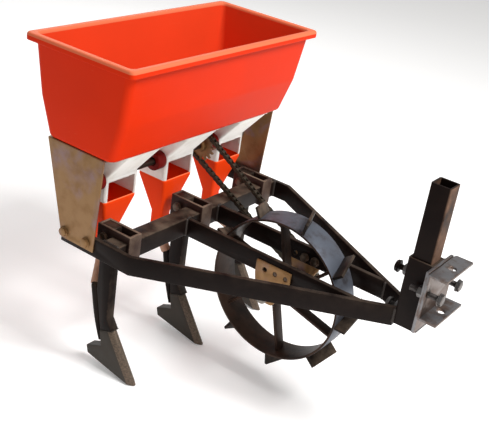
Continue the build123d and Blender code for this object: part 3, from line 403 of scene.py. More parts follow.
def zinc_plate(name, base, stain, patch):
    """Zinc plating: cool grey metal, a little cloudy, with brown rust, most where it faces forward, where
    the brown also paints shade.
    """
    material, tree, place = new_material(name, metallic=0.8)
    clouds = add(tree, NOISE, inputs={"Vector": place, "Scale": per(30), "Detail": 5.0, "Distortion": 0.4})
    marks = add(tree, NOISE, inputs={"Vector": place, "Scale": per(patch), "Detail": 6.0, "Roughness": 0.7})
    # Brown on the faces that look forward is rust and painted shade, as on the channel's web under its
    # flange.
    forward = add(tree, DOT, ALONG, {0: place.node.outputs["Normal"], 1: RUST_AND_SHADE_FORWARD}, out="Value")
    rust = add(tree, MATH, {"operation": "ADD"}, {0: marks, 1: forward})
    rust_and_shade = add(tree, RANGE, SMOOTH, {"Value": rust, "From Min": 0.42, "From Max": 0.7, "To Max": stain})
    blue = tint(base, 0.82, 0.88, 0.98)
    brown = tint(base, 0.5, 0.33, 0.24)
    metal = add(tree, MIX, COLOURS, {FACTOR: clouds, FIRST: tuple(base), SECOND: blue})
    dress(tree, (rust_and_shade, metal, brown), (marks, 0.24, 0.5))
    return material


def turned_steel(name, code, low, high):
    """Turned metal: bright, with fine rings left by the tool round the axis, and a film that dulls it."""
    material, tree, place = new_material(name, metallic=0.95)
    round_way = add(tree, STRETCH, inputs={"Vector": place, "Scale": (0.05, 1.0, 0.05)})
    rings = add(tree, NOISE, inputs={"Vector": round_way, "Scale": per(1.2), "Detail": 2.0})
    film = add(tree, NOISE, inputs={"Vector": place, "Scale": per(14), "Detail": 6.0, "Roughness": 0.66})
    base = linear(code)
    dress(tree, (film, tint(base, 1.25), tint(base, 0.55)), (film, low, high), (rings, 0.15, 0.1))
    return material


def oiled_chain_steel():
    """Blued chain steel under oil: dark brown with olive-grey rubbed tops and dirt in the joints."""
    material, tree, place = new_material("oiled_chain_steel", metallic=0.7)
    dirt = add(tree, NOISE, inputs={"Vector": place, "Scale": per(5), "Detail": 6.0, "Roughness": 0.7})
    dress(tree, (dirt, linear("5A5142"), linear("1E1713")), (dirt, 0.28, 0.7))
    return material


def soft_pvc(base):
    """Soft PVC hose: pinkish tan, waxy, a little see-through, with faint bands along it."""
    material, tree, place = new_material(
        "soft_pvc", ior=1.53, subsurface_weight=0.25, subsurface_radius=(4 * MM, 2 * MM, 1.2 * MM),
        subsurface_scale=1.0)
    long_way = add(tree, STRETCH, inputs={"Vector": place, "Scale": (1.0, 1.0, 0.2)})
    bands = add(tree, NOISE, inputs={"Vector": long_way, "Scale": per(8), "Detail": 4.0})
    dress(tree, (bands, tint(base, 0.72), tint(base, 1.2)), (bands, 0.38, 0.55))
    return material


def weld_steel():
    """Arc-welded bead: heat-tinted steel under thin paint, dark, with small paler spatter."""
    material, tree, place = new_material("weld_steel", metallic=0.3)
    spatter = add(tree, NOISE, inputs={"Vector": place, "Scale": per(4), "Detail": 5.0, "Roughness": 0.7})
    dress(tree, (spatter, linear("1A1311"), linear("3E342D")), (spatter, 0.4, 0.75))
    return material


def finish(look):
    """The material of one of the record's slots, or of a look of its own, made once."""
    if look not in finish.made:
        drill = bpy.context.scene.seed_drill_frame
        moulded = bpy.context.scene.seed_drill_bin
        paint = drill.paint_colour
        dust = drill.dust_and_light_colour
        makers = {
            "hopper_plastic": lambda: moulded_polyethylene("rotomoulded_polyethylene", moulded.bin_colour),
            # The funnels' bright orange is partly painted light.
            "funnels": lambda: moulded_polyethylene("injected_polyethylene", moulded.funnel_and_light_colour),
            "unit_plastic": lambda: moulded_abs(moulded.unit_colour),
            # The sleeves' dark red is painted shade.
            "sleeves": lambda: shaded_moulded_nylon(moulded.sleeve_and_shade_colour),
            # The enamels below put dust and painted light on the faces toward the key light.
            "frame_paint": lambda: dusty_enamel("sprayed_enamel", paint, dust, chips=0.1, dust_and_light_share=0.3),
            "toolbar": lambda: dusty_enamel(
                "soiled_and_lit_enamel", paint, dust, chips=0.15, dust_and_light_share=0.65, side=TOP_DUST_AND_LIGHT_SIDE),
            "clamps": lambda: dusty_enamel(
                "rubbed_and_lit_enamel", tint(paint, 5.0), tint(dust, 1.25), chips=0.35, dust_and_light_share=0.9),
            # The post's front faces get rust, soil and painted light.
            "post": lambda: dusty_enamel(
                "handled_and_lit_enamel", paint, drill.front_rust_and_light_colour, chips=0.12, dust_and_light_share=0.9, side=FRONT_RUST_AND_LIGHT_SIDE),
            "tine_paint": lambda: dusty_enamel("dipped_enamel", paint, dust, chips=0.12, dust_and_light_share=0.3),
            # The lugs' upper faces get dust and a painted highlight from above.
            "lugs": lambda: dusty_enamel("scraped_and_lit_enamel", drill.wheel_colour, dust, chips=0.15, dust_and_light_share=0.8),
            "wheel_paint": lambda: worn_and_lit_wheel_enamel(
                drill.wheel_colour, drill.soil_and_shade_colour, drill.scoured_and_sky_colour),
            "yellow_zinc": lambda: yellow_passivated_zinc(drill.gold_colour, drill.violet_colour),
            "bright_zinc": lambda: zinc_plate("bright_zinc_plate", drill.zinc_colour, stain=0.45, patch=9),
            "aged_zinc": lambda: zinc_plate("aged_zinc_plate", drill.aged_colour, stain=0.9, patch=24),
            "rusty_zinc": lambda: zinc_plate("rusty_zinc_plate", drill.rusty_colour, stain=0.9, patch=9),
            "bare_steel": lambda: turned_steel("turned_steel", "8C8780", low=0.25, high=0.5),
            # The shaft's dark brown is painted shade for the shadowed gap between the units.
            "shaft": lambda: turned_steel("shaded_drawn_steel", "4A3C34", low=0.45, high=0.7),
            "bronze": lambda: turned_steel("sintered_bronze", "9A6F3E", low=0.4, high=0.65),
            "chain_steel": oiled_chain_steel,
            "hose": lambda: soft_pvc(drill.hose_colour),
            "shares": lambda: forged_share_steel(drill.share_colour, dust),
            "welds": weld_steel,
        }
        finish.made[look] = makers[look]()
    return finish.made[look]


finish.made = {}


def put(bm, name, look, body, slot, stands_for=()):
    """Make a piece of a mesh on its body and hide the nodes that it stands for. The slot is not used."""
    bmesh.ops.recalc_face_normals(bm, faces=bm.faces)
    mesh = bpy.data.meshes.new(name)
    bm.to_mesh(mesh)
    bm.free()
    mesh.shade_smooth()
    mesh.set_sharp_from_angle(angle=SHARP_ANGLE)
    mesh.materials.append(finish(look))
    piece = bpy.data.objects.new(name, mesh)
    bpy.context.scene.collection.objects.link(piece)
    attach(piece, body)
    if stands_for:
        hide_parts(*stands_for)
    return piece


def points_of(node):
    """Points of a node's mesh."""
    return [vertex.co for vertex in frame["nodes"][node].data.vertices]


def centre_of(node):
    """Middle of a node's box."""
    low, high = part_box(node)
    return (low + high) / 2


def node_mesh(node):
    """A node's mesh with its points joined and its flat faces whole."""
    bm = bmesh.new()
    bm.from_mesh(frame["nodes"][node].data)
    bmesh.ops.remove_doubles(bm, verts=bm.verts, dist=WELD_TOGETHER)
    bmesh.ops.dissolve_limit(bm, angle_limit=FLAT_ANGLE, verts=bm.verts, edges=bm.edges)
    return bm


def solids(node):
    """Points of each separate solid of a node."""
    bm = node_mesh(node)
    seen = set()
    for first in bm.verts:
        if first in seen:
            continue
        seen.add(first)
        reached = [first]
        for vertex in reached:
            for edge in vertex.link_edges:
                other = edge.other_vert(vertex)
                if other not in seen:
                    seen.add(other)
                    reached.append(other)
        yield [vertex.co.copy() for vertex in reached]
    bm.free()


def round_edges(bm, edges, radius, steps):
    """Round these edges, mark the new faces in the edge layer, which shows chipped paint on enamel and a
    painted highlight on polyethylene, and join the points that came together.
    """
    layer = bm.faces.layers.float.get("edge") or bm.faces.layers.float.new("edge")
    made = bmesh.ops.bevel(bm, geom=list(edges), offset=radius, offset_type="OFFSET", segments=steps,
                           profile=0.5, affect="EDGES")
    for face in made["faces"]:
        face[layer] = 1.0
    bmesh.ops.remove_doubles(bm, verts=bm.verts, dist=WELD_TOGETHER)
    bmesh.ops.dissolve_degenerate(bm, dist=WELD_TOGETHER, edges=bm.edges)


def sharp_edges(bm):
    """Outside edges between faces that meet at more than the edge angle."""
    return [edge for edge in bm.edges if edge.is_convex and edge.calc_face_angle() > EDGE_ANGLE]


def rounded(node, radius, wide=None, wide_radius=0.0, look=None, worn=None):
    """Show a node as a copy with rounded edges.

    The long edges that wide picks get a larger radius first, and worn gives how worn each face is.
    """
    bm = node_mesh(node)
    if wide:
        long_edges = [edge for edge in sharp_edges(bm) if edge.calc_length() > wide_radius]
        round_edges(bm, [edge for edge in long_edges if wide(edge)], wide_radius, WIDE_STEPS)
    if radius:
        round_edges(bm, sharp_edges(bm), radius, EDGE_STEPS)
    slot = slot_of[node]
    piece = put(bm, f"finished_{node}", look or slot, body_of[node], slot, [node])
    if worn:
        marks = piece.data.attributes.new("worn", "FLOAT", "FACE")
        for polygon in piece.data.polygons:
            marks.data[polygon.index].value = float(worn(polygon))


def runs_along(edge, axis):
    """True where an edge is parallel to an axis."""
    way = edge.verts[1].co - edge.verts[0].co
    return abs(way[axis]) > PARALLEL * way.length


def skin(bm, rings, closed=False):
    """Join rings of points, each to the next, and give the rings' points."""
    made = [[bm.verts.new(point) for point in ring] for ring in rings]
    for first, second in zip(made, made[1:] + made[:1] if closed else made[1:]):
        for place in range(len(first)):
            after = (place + 1) % len(first)
            bm.faces.new((first[place], first[after], second[after], second[place]))
    return made


def capped(bm, rings):
    """Join rings of points and close both ends."""
    made = skin(bm, rings)
    bm.faces.new(made[0])
    bm.faces.new(made[-1])


def turns(count):
    """Angles of that many points round a circle."""
    return [2 * pi * place / count for place in range(count)]


def circle(centre, across, over, radius, count):
    """Points round a circle that lies in the plane of two directions."""
    return [centre + (across * cos(turn) + over * sin(turn)) * radius for turn in turns(count)]


def rounded_rectangle(half_x, half_y, radius, z, centre, steps):
    """Points round a rectangle with round corners, at a height."""
    points = []
    for quarter, (side_x, side_y) in enumerate(((1, 1), (-1, 1), (-1, -1), (1, -1))):
        for step in range(steps + 1):
            angle = (quarter + step / steps) * pi / 2
            points.append(Vector((
                centre.x + side_x * (half_x - radius) + radius * cos(angle),
                centre.y + side_y * (half_y - radius) + radius * sin(angle), z)))
    return points


def softened(points, radii, steps):
    """A line of points of any size with its corners rounded, each by its own reach."""
    most = 0.48         # most of a side that a corner's rounding takes
    line = [points[0]]
    for before, corner, after, reach in zip(points, points[1:], points[2:], radii):
        start = corner + (before - corner).normalized() * min(reach, (before - corner).length * most)
        end = corner + (after - corner).normalized() * min(reach, (after - corner).length * most)
        for step in range(steps + 1):
            share = step / steps
            line.append(start * (1 - share) ** 2 + corner * 2 * share * (1 - share) + end * share ** 2)
    line.append(points[-1])
    return line


def tube(bm, centres, outer, inner=None, sides=20, ripple=None):
    """A tube along a line of points, hollow where it has an inner radius, closed at its ends."""
    ways = [(after - before).normalized() for before, after in zip(centres, centres[1:])]
    ways = [ways[0]] + [(a + b).normalized() for a, b in zip(ways, ways[1:])] + [ways[-1]]
    across = ways[0].orthogonal().normalized()
    rings = {radius: [] for radius in (outer, inner) if radius}
    for place, (centre, way) in enumerate(zip(centres, ways)):
        across = (across - way * across.dot(way)).normalized()
        over = way.cross(across)
        for radius, made in rings.items():
            reach = radius * (ripple(place) if ripple else 1.0)
            made.append(circle(centre, across, over, reach, sides))
    if inner:
        skin(bm, rings[outer] + rings[inner][::-1], closed=True)
    else:
        capped(bm, rings[outer])


def nurbs_line(points):
    """Points along the smooth line that a NURBS spline makes of a few control points."""
    curve = bpy.data.curves.new("route", "CURVE")
    curve.dimensions = "3D"
    curve.resolution_u = 8
    spline = curve.splines.new("NURBS")
    spline.points.add(len(points) - 1)
    for control, point in zip(spline.points, points):
        control.co = (*point, 1.0)
    spline.order_u = 3
    spline.use_endpoint_u = True
    holder = bpy.data.objects.new("route", curve)
    mesh = bpy.data.meshes.new_from_object(holder)
    line = [vertex.co.copy() for vertex in mesh.vertices]
    bpy.data.objects.remove(holder)
    bpy.data.curves.remove(curve)
    bpy.data.meshes.remove(mesh)
    return line


class SEEDDRILL_OT_hopper(bpy.types.Operator):
    """Mould the open bin with its folded rim, creased walls and three seed ports"""
    bl_idname = "seed_drill.hopper"
    bl_label = "Moulded bin"
    FLAT_FRONT = 1.3            # where the flat of the floor starts, in insets of the floor at the front
    FLAT_SIDE = 1.9             # the same at the ends
    LEAST_CORNER = 2 * MM       # smallest upright corner
    ROUND_STEPS = 5             # points round a rounding of the profile
    CORNER_STEPS = 6            # points round an upright corner
    PORT_STEPS = 3              # points round a port's corner
    INSIDE_PALE_SHARE = 0.15           # share of the rim's paler colour that the inside gets; on the rim that colour is a painted highlight

    def execute(self, context):
        bin_ = context.scene.seed_drill_bin
        low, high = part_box("hopper")
        half = (high - low) / 2
        centre = (high + low) / 2
        levels = self.levels(bin_, low.z, high.z)
        rings = [
            rounded_rectangle(half.x - inset_x, half.y - inset_y, max(radius, self.LEAST_CORNER), z,
                              centre, self.CORNER_STEPS)
            for inset_x, inset_y, z, radius in levels
        ]
        bm = bmesh.new()
        made = skin(bm, rings)
        # The edge layer paints a highlight on the rim's top faces and gives the inside a faint share of
        # that paler colour.
        rubbed = bm.faces.layers.float.new("edge")
        top = max(range(len(levels)), key=lambda place: levels[place][2])
        for place, face in enumerate(bm.faces):
            on_rim = face.calc_center_median().z > high.z - bin_.bead_round
            inside = place // len(rings[0]) > top
            face[rubbed] = 1.0 if on_rim else self.INSIDE_PALE_SHARE * inside
        self.floors(bm, bin_, low.z, (made[0], made[-1]))
        put(bm, "hopper_bin", "hopper_plastic", "frame", "hopper_plastic", ["hopper"])
        return {"FINISHED"}

    def levels(self, bin_, floor, rim):
        """Insets, height and corner radius of each ring, from the underside over the rim to the inside."""
        wall = bin_.wall
        skirt = rim - bin_.rim_drop
        under = rim - wall
        crease = floor + bin_.crease_lift
        reach = bin_.rim_reach
        corner = bin_.corner_round
        inner = corner - wall
        rim_corner = bin_.rim_corner
        fold_corner = rim_corner - wall
        flat = (bin_.floor_front * self.FLAT_FRONT, bin_.floor_side * self.FLAT_SIDE)
        profile = [
            ((*flat, floor, corner), 0),
            ((bin_.floor_front, bin_.floor_side, floor, corner), bin_.floor_round),
            ((bin_.crease_front, bin_.crease_side, crease, corner), bin_.crease_round),
            ((reach, reach, under, corner), bin_.under_round),
            ((wall, wall, under, fold_corner), bin_.fold_round),
            ((wall, wall, skirt, fold_corner), bin_.lip_round),
            ((0, 0, skirt, rim_corner), bin_.lip_round),
            ((0, 0, rim, rim_corner), bin_.bead_round),
            ((reach + wall, reach + wall, rim, inner), bin_.bead_round),
            ((bin_.crease_front + wall, bin_.crease_side + wall, crease, inner), bin_.crease_round),
            ((bin_.floor_front + wall, bin_.floor_side + wall, floor + wall, inner), bin_.floor_round),
            ((*flat, floor + wall, corner), 0),
        ]
        points, roundings = zip(*profile)
        return softened([Vector(point) for point in points], roundings[1:-1], self.ROUND_STEPS)

    def floors(self, bm, bin_, floor, borders):
        """Close the floor's underside and upper side round the ports."""
        inlet = [point.x for point in points_of("metering_housing_1") if point.z > floor - MM]
        port_x = (min(inlet) + max(inlet)) / 2
        ports = []
        for row in ROWS:
            place = Vector((port_x, centre_of(f"metering_housing_{row}").y, 0))
            ports.append(skin(bm, [
                rounded_rectangle(bin_.port_width / 2, bin_.port_length / 2, bin_.port_corner, z, place,
                                  self.PORT_STEPS)
                for z in (floor, floor + bin_.wall)
            ]))
        for level, border in enumerate(borders):
            loops = [border] + [port[level] for port in ports]
            edges = [bm.edges.get(pair) for loop in loops for pair in zip(loop, loop[1:] + loop[:1])]
            bmesh.ops.triangle_fill(bm, use_beauty=True, use_dissolve=True, edges=edges)


class SEEDDRILL_OT_frame(bpy.types.Operator):
    """Finish the bars, toolbar, wheel arms and plates of the frame"""
    bl_idname = "seed_drill.frame"
    bl_label = "Frame"

    def execute(self, context):
        drill = context.scene.seed_drill_frame
        for side in SIDES:
            low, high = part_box(f"{side}_side_bar")
            rounded(f"{side}_side_bar", drill.bar_edge,
                    lambda edge: runs_along(edge, 2) and low.x + MM < edge.verts[0].co.x < high.x - MM,
                    drill.bend_round)
            rounded(f"{side}_wheel_arm", drill.bar_edge)
            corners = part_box(f"{side}_side_plate")
            fold = corners[1].z
            outer = max(corners, key=lambda corner: abs(corner.y)).y
            rounded(f"{side}_side_plate", drill.sheet_edge,
                    lambda edge: runs_along(edge, 0) and abs(edge.verts[0].co.z - fold) < MM
                    and abs(edge.verts[0].co.y - outer) < MM, drill.plate_fold)
            rounded(f"{side}_axle_bracket", drill.sheet_edge)
        rounded("toolbar", 0.0, lambda edge: runs_along(edge, 1), drill.toolbar_edge, "toolbar")
        return {"FINISHED"}


class SEEDDRILL_OT_metering_units(bpy.types.Operator):
    """Mould the metering units and finish the shaft, rollers, bushes and sleeves"""
    bl_idname = "seed_drill.metering_units"
    bl_label = "Metering units"
    NEAR_KNEE = 4 * MM      # an edge across the unit this near to the knee belongs to it
    SLOPES = 0.3            # a face that looks forward this much belongs to the sloping front
    UPRIGHT = 0.9           # a face that looks sideways this much is a cheek

    def execute(self, context):
        bin_ = context.scene.seed_drill_bin
        drill = context.scene.seed_drill_frame
        for row in ROWS:
            points = points_of(f"metering_housing_{row}")
            bottom = min(point.z for point in points)
            front = max(point.x for point in points if point.z < bottom + MM)
            knee = max(point.z for point in points if abs(point.x - front) < MM / 10)

            def knee_or_cheek(edge):
                if runs_along(edge, 1):
                    return abs(edge.verts[0].co.z - knee) < self.NEAR_KNEE
                ways = sorted((face.normal for face in edge.link_faces), key=lambda way: abs(way.y))
                return (ways[0].x > self.SLOPES and abs(ways[1].y) > self.UPRIGHT
                        and edge.verts[0].co.z > knee - MM)

            rounded(f"metering_housing_{row}", bin_.unit_edge, knee_or_cheek, bin_.knee_round)
            rounded(f"seed_funnel_{row}", bin_.moulded_edge, look="funnels")
            rounded(f"fluted_roller_{row}", drill.sheet_edge)
        rounded("metering_shaft", drill.sheet_edge, look="shaft")
        for node in ("shaft_bushes", "shaft_collars"):
            rounded(node, drill.sheet_edge)
        rounded("cutoff_sleeves", bin_.moulded_edge, look="sleeves")
        return {"FINISHED"}


class SEEDDRILL_OT_hoses(bpy.types.Operator):
    """Run the seed hoses from the funnels' necks to the boots"""
    bl_idname = "seed_drill.hoses"
    bl_label = "Seed hoses"
    ROUND = 28              # points round a hose
    SWELL = 0.012           # how far the hose's thickness varies along it
    SWELL_TURN = 1.9        # how fast it varies, in radians for each point of the line

    def execute(self, context):
        hose = context.scene.seed_drill_hose
        for row in ROWS:
            funnel = centre_of(f"seed_funnel_{row}")
            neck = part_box(f"seed_funnel_{row}")[0].z
            head_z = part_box(f"seed_hose_{row}")[1].z
            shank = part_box(f"tine_shank_{row}")[0].x
            elbow = Vector((shank - hose.boot_setback, centre_of(f"tine_shank_{row}").y, hose.boot_top))
            knee = Vector((funnel.x, funnel.y, neck - hose.drop))
            foot = elbow + (knee - elbow).normalized() * hose.shoulder
            route = [foot, foot.lerp(knee, 0.5), knee, Vector((knee.x, knee.y, neck + hose.held)),
                     Vector((knee.x, knee.y, head_z))]
            bm = bmesh.new()
            tube(bm, nurbs_line(route), hose.radius, hose.radius - hose.wall, self.ROUND,
                 lambda place: 1.0 + self.SWELL * sin(place * self.SWELL_TURN))
            put(bm, f"hose_{row}", "hose", f"tine_{row}", "hose", [f"seed_hose_{row}"])
        return {"FINISHED"}


class SEEDDRILL_OT_tines(bpy.types.Operator):
    """Finish the tines: clamps, shanks, boots and worn shares"""
    bl_idname = "seed_drill.tines"
    bl_label = "Tines"
    CUTS = 0.3              # a face of a share that looks forward this much cuts the soil; it is painted pale, scour and painted light

    def execute(self, context):
        drill = context.scene.seed_drill_frame
        for row in ROWS:
            rounded(f"tine_clamp_{row}", drill.bar_edge, look="clamps")
            rounded(f"tine_shank_{row}", drill.shank_edge)
            rounded(f"seed_boot_{row}", drill.boot_edge)
            rounded(f"furrow_share_{row}", drill.share_edge, look="shares",
                    worn=lambda polygon: polygon.normal.x > self.CUTS)
        return {"FINISHED"}


class SEEDDRILL_OT_chain_drive(bpy.types.Operator):
    """Assemble the roller chain link by link round its two sprockets"""
    bl_idname = "seed_drill.chain_drive"
    bl_label = "Chain drive"
    ROLLER_FIT = 0.96       # length of a roller, as a share of the gap between the inner plates
    ROLLER_ROUND = 14       # points round a roller
    PIN_ROUND = 10          # points round a pin
    END_STEPS = 6           # steps round the end of a link plate
    END_TURN = 0.35         # radians from upright at which the round end of a link plate starts
    CHAMFER = 0.85          # end of a roller or pin, as a share of its radius
    CHAMFER_AT = 0.92       # where its chamfer starts, as a share of its half length

    def execute(self, context):
        chain = context.scene.seed_drill_chain
        upper = centre_of("meter_sprocket")
        lower = centre_of("axle_sprocket")
        middle = centre_of("drive_chain").y
        big = chain.upper_teeth * chain.pitch / (2 * pi)
        small = chain.lower_teeth * chain.pitch / (2 * pi)
        span = Vector((lower.x - upper.x, lower.z - upper.z))
        reach = span.length
        lean = asin((big - small) / reach)
        top = atan2(span.y, span.x) + pi / 2 - lean
        bottom = top - pi + 2 * lean
        run = reach * cos(lean)
        low_wrap = (pi - 2 * lean) * small
        high_wrap = (pi + 2 * lean) * big
        whole = 2 * run + low_wrap + high_wrap
        links = 2 * round(whole / chain.pitch / 2)

        def spot(centre, radius, angle):
            return Vector((centre.x + radius * cos(angle), middle, centre.z + radius * sin(angle)))

        def path(distance):
            if distance < run:
                return spot(upper, big, top).lerp(spot(lower, small, top), distance / run)
            distance -= run
            if distance < low_wrap:
                return spot(lower, small, top - distance / small)
            distance -= low_wrap
            if distance < run:
                return spot(lower, small, bottom).lerp(spot(upper, big, bottom), distance / run)
            return spot(upper, big, bottom - (distance - run) / big)

        joints = [path(step * whole / links) for step in range(links)]
        bm = bmesh.new()
        outer_gap = chain.inner_gap + chain.plate_wall
        pin_half = outer_gap + chain.plate_wall + chain.pin_stand
        for step, (start, end) in enumerate(zip(joints, joints[1:] + joints[:1])):
            gap = chain.inner_gap if step % 2 == 0 else outer_gap
            for side in (-1, 1):
                self.plate(bm, chain, start, end, middle + side * gap, side * chain.plate_wall)
            self.barrel(bm, start, chain.roller, chain.inner_gap * self.ROLLER_FIT, self.ROLLER_ROUND)
            self.barrel(bm, start, chain.pin, pin_half, self.PIN_ROUND)
        put(bm, "roller_chain", "chain_steel", "frame", "chain_steel", ["drive_chain"])
        for node in ("meter_sprocket", "axle_sprocket"):
            rounded(node, context.scene.seed_drill_frame.sheet_edge)
        return {"FINISHED"}

    def plate(self, bm, chain, start, end, y, wall):
        """One link plate with a waist, from one pin to the next."""
        way = (end - start).normalized()
        over = Vector((-way.z, 0, way.x))
        half = (end - start).length / 2
        middle = (start + end) / 2
        outline = []
        for flip in (1, -1):
            outline.append(middle + over * flip * chain.waist_half)
            for step in range(self.END_STEPS + 1):
                swept = self.END_TURN + step / self.END_STEPS * (pi - 2 * self.END_TURN)
                angle = flip * pi / 2 - swept
                at = middle + way * half * flip
                outline.append(at + (way * cos(angle) + over * sin(angle)) * chain.plate_half)
        capped(bm, [[Vector((point.x, y + depth, point.z)) for point in outline] for depth in (0, wall)])

    def barrel(self, bm, centre, radius, half, sides):
        """A short cylinder across the chain, with chamfered ends."""
        flat = half * self.CHAMFER_AT
        end = radius * self.CHAMFER
        along, across, over = Vector((0, 1, 0)), Vector((1, 0, 0)), Vector((0, 0, 1))
        capped(bm, [
            circle(centre + along * depth, across, over, reach, sides)
            for depth, reach in ((-half, end), (-flat, radius), (flat, radius), (half, end))
        ])


class SEEDDRILL_OT_ground_wheel(bpy.types.Operator):
    """Finish the lugged wheel, its axle and its bearings"""
    bl_idname = "seed_drill.ground_wheel"
    bl_label = "Ground wheel"
    TREAD = 0.8                 # a face of the rim that looks outward this much is tread
    SCOURED_AND_LIT_SIDE = (0.6, 0.8)     # way, in X and Z, to the part of the rim scoured most at rest, which looks toward the light: a painted highlight
    SCOURED = 0.6               # how scoured the tread is in the mean
    SCOURED_MORE = 1.2          # how much more it is on the side toward the light, a painted highlight
    SCOURED_LEAST = 0.15        # how scoured it is everywhere

    def execute(self, context):
        drill = context.scene.seed_drill_frame
        axle = centre_of("wheel_rim")

        # Scour on the tread faces, strongest toward the light: wear and a painted highlight.
        def scoured(polygon):
            away = polygon.center - axle
            away = Vector((away.x, away.z)).normalized()
            if away.dot((polygon.normal.x, polygon.normal.z)) < self.TREAD:
                return 0.0
            share = self.SCOURED + self.SCOURED_MORE * away.dot(self.SCOURED_AND_LIT_SIDE)
            return min(1.0, max(self.SCOURED_LEAST, share))

        rounded("wheel_rim", drill.wheel_edge, worn=scoured)
        rounded("wheel_lugs", drill.wheel_edge, look="lugs")
        for node in ("wheel_spokes", "wheel_hub"):
            rounded(node, drill.wheel_edge)
        for node in ("axle", "axle_collars", "axle_bushes"):
            rounded(node, drill.sheet_edge)
        return {"FINISHED"}


class SEEDDRILL_OT_hitch(bpy.types.Operator):
    """Finish the socket, the post, the backing plate and the channel of the hitch"""
    bl_idname = "seed_drill.hitch"
    bl_label = "Hitch"

    def execute(self, context):
        drill = context.scene.seed_drill_frame
        low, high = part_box("hitch_socket")

        def upright_outside(edge):
            spot = edge.verts[0].co
            outside = min(abs(spot.x - low.x), abs(spot.x - high.x)) < MM
            return runs_along(edge, 2) and outside and min(abs(spot.y - low.y), abs(spot.y - high.y)) < MM

        rounded("hitch_socket", drill.tube_end, upright_outside, drill.tube_edge)
        rounded("hitch_post", drill.sheet_edge, look="post")
        rounded("hitch_plate", drill.sheet_edge, look="aged_zinc")
        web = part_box("hitch_bracket")[0].x
        rounded("hitch_bracket", drill.sheet_edge,
                lambda edge: runs_along(edge, 1) and abs(edge.verts[0].co.x - web) < MM, drill.fold_round,
                "aged_zinc")
        return {"FINISHED"}


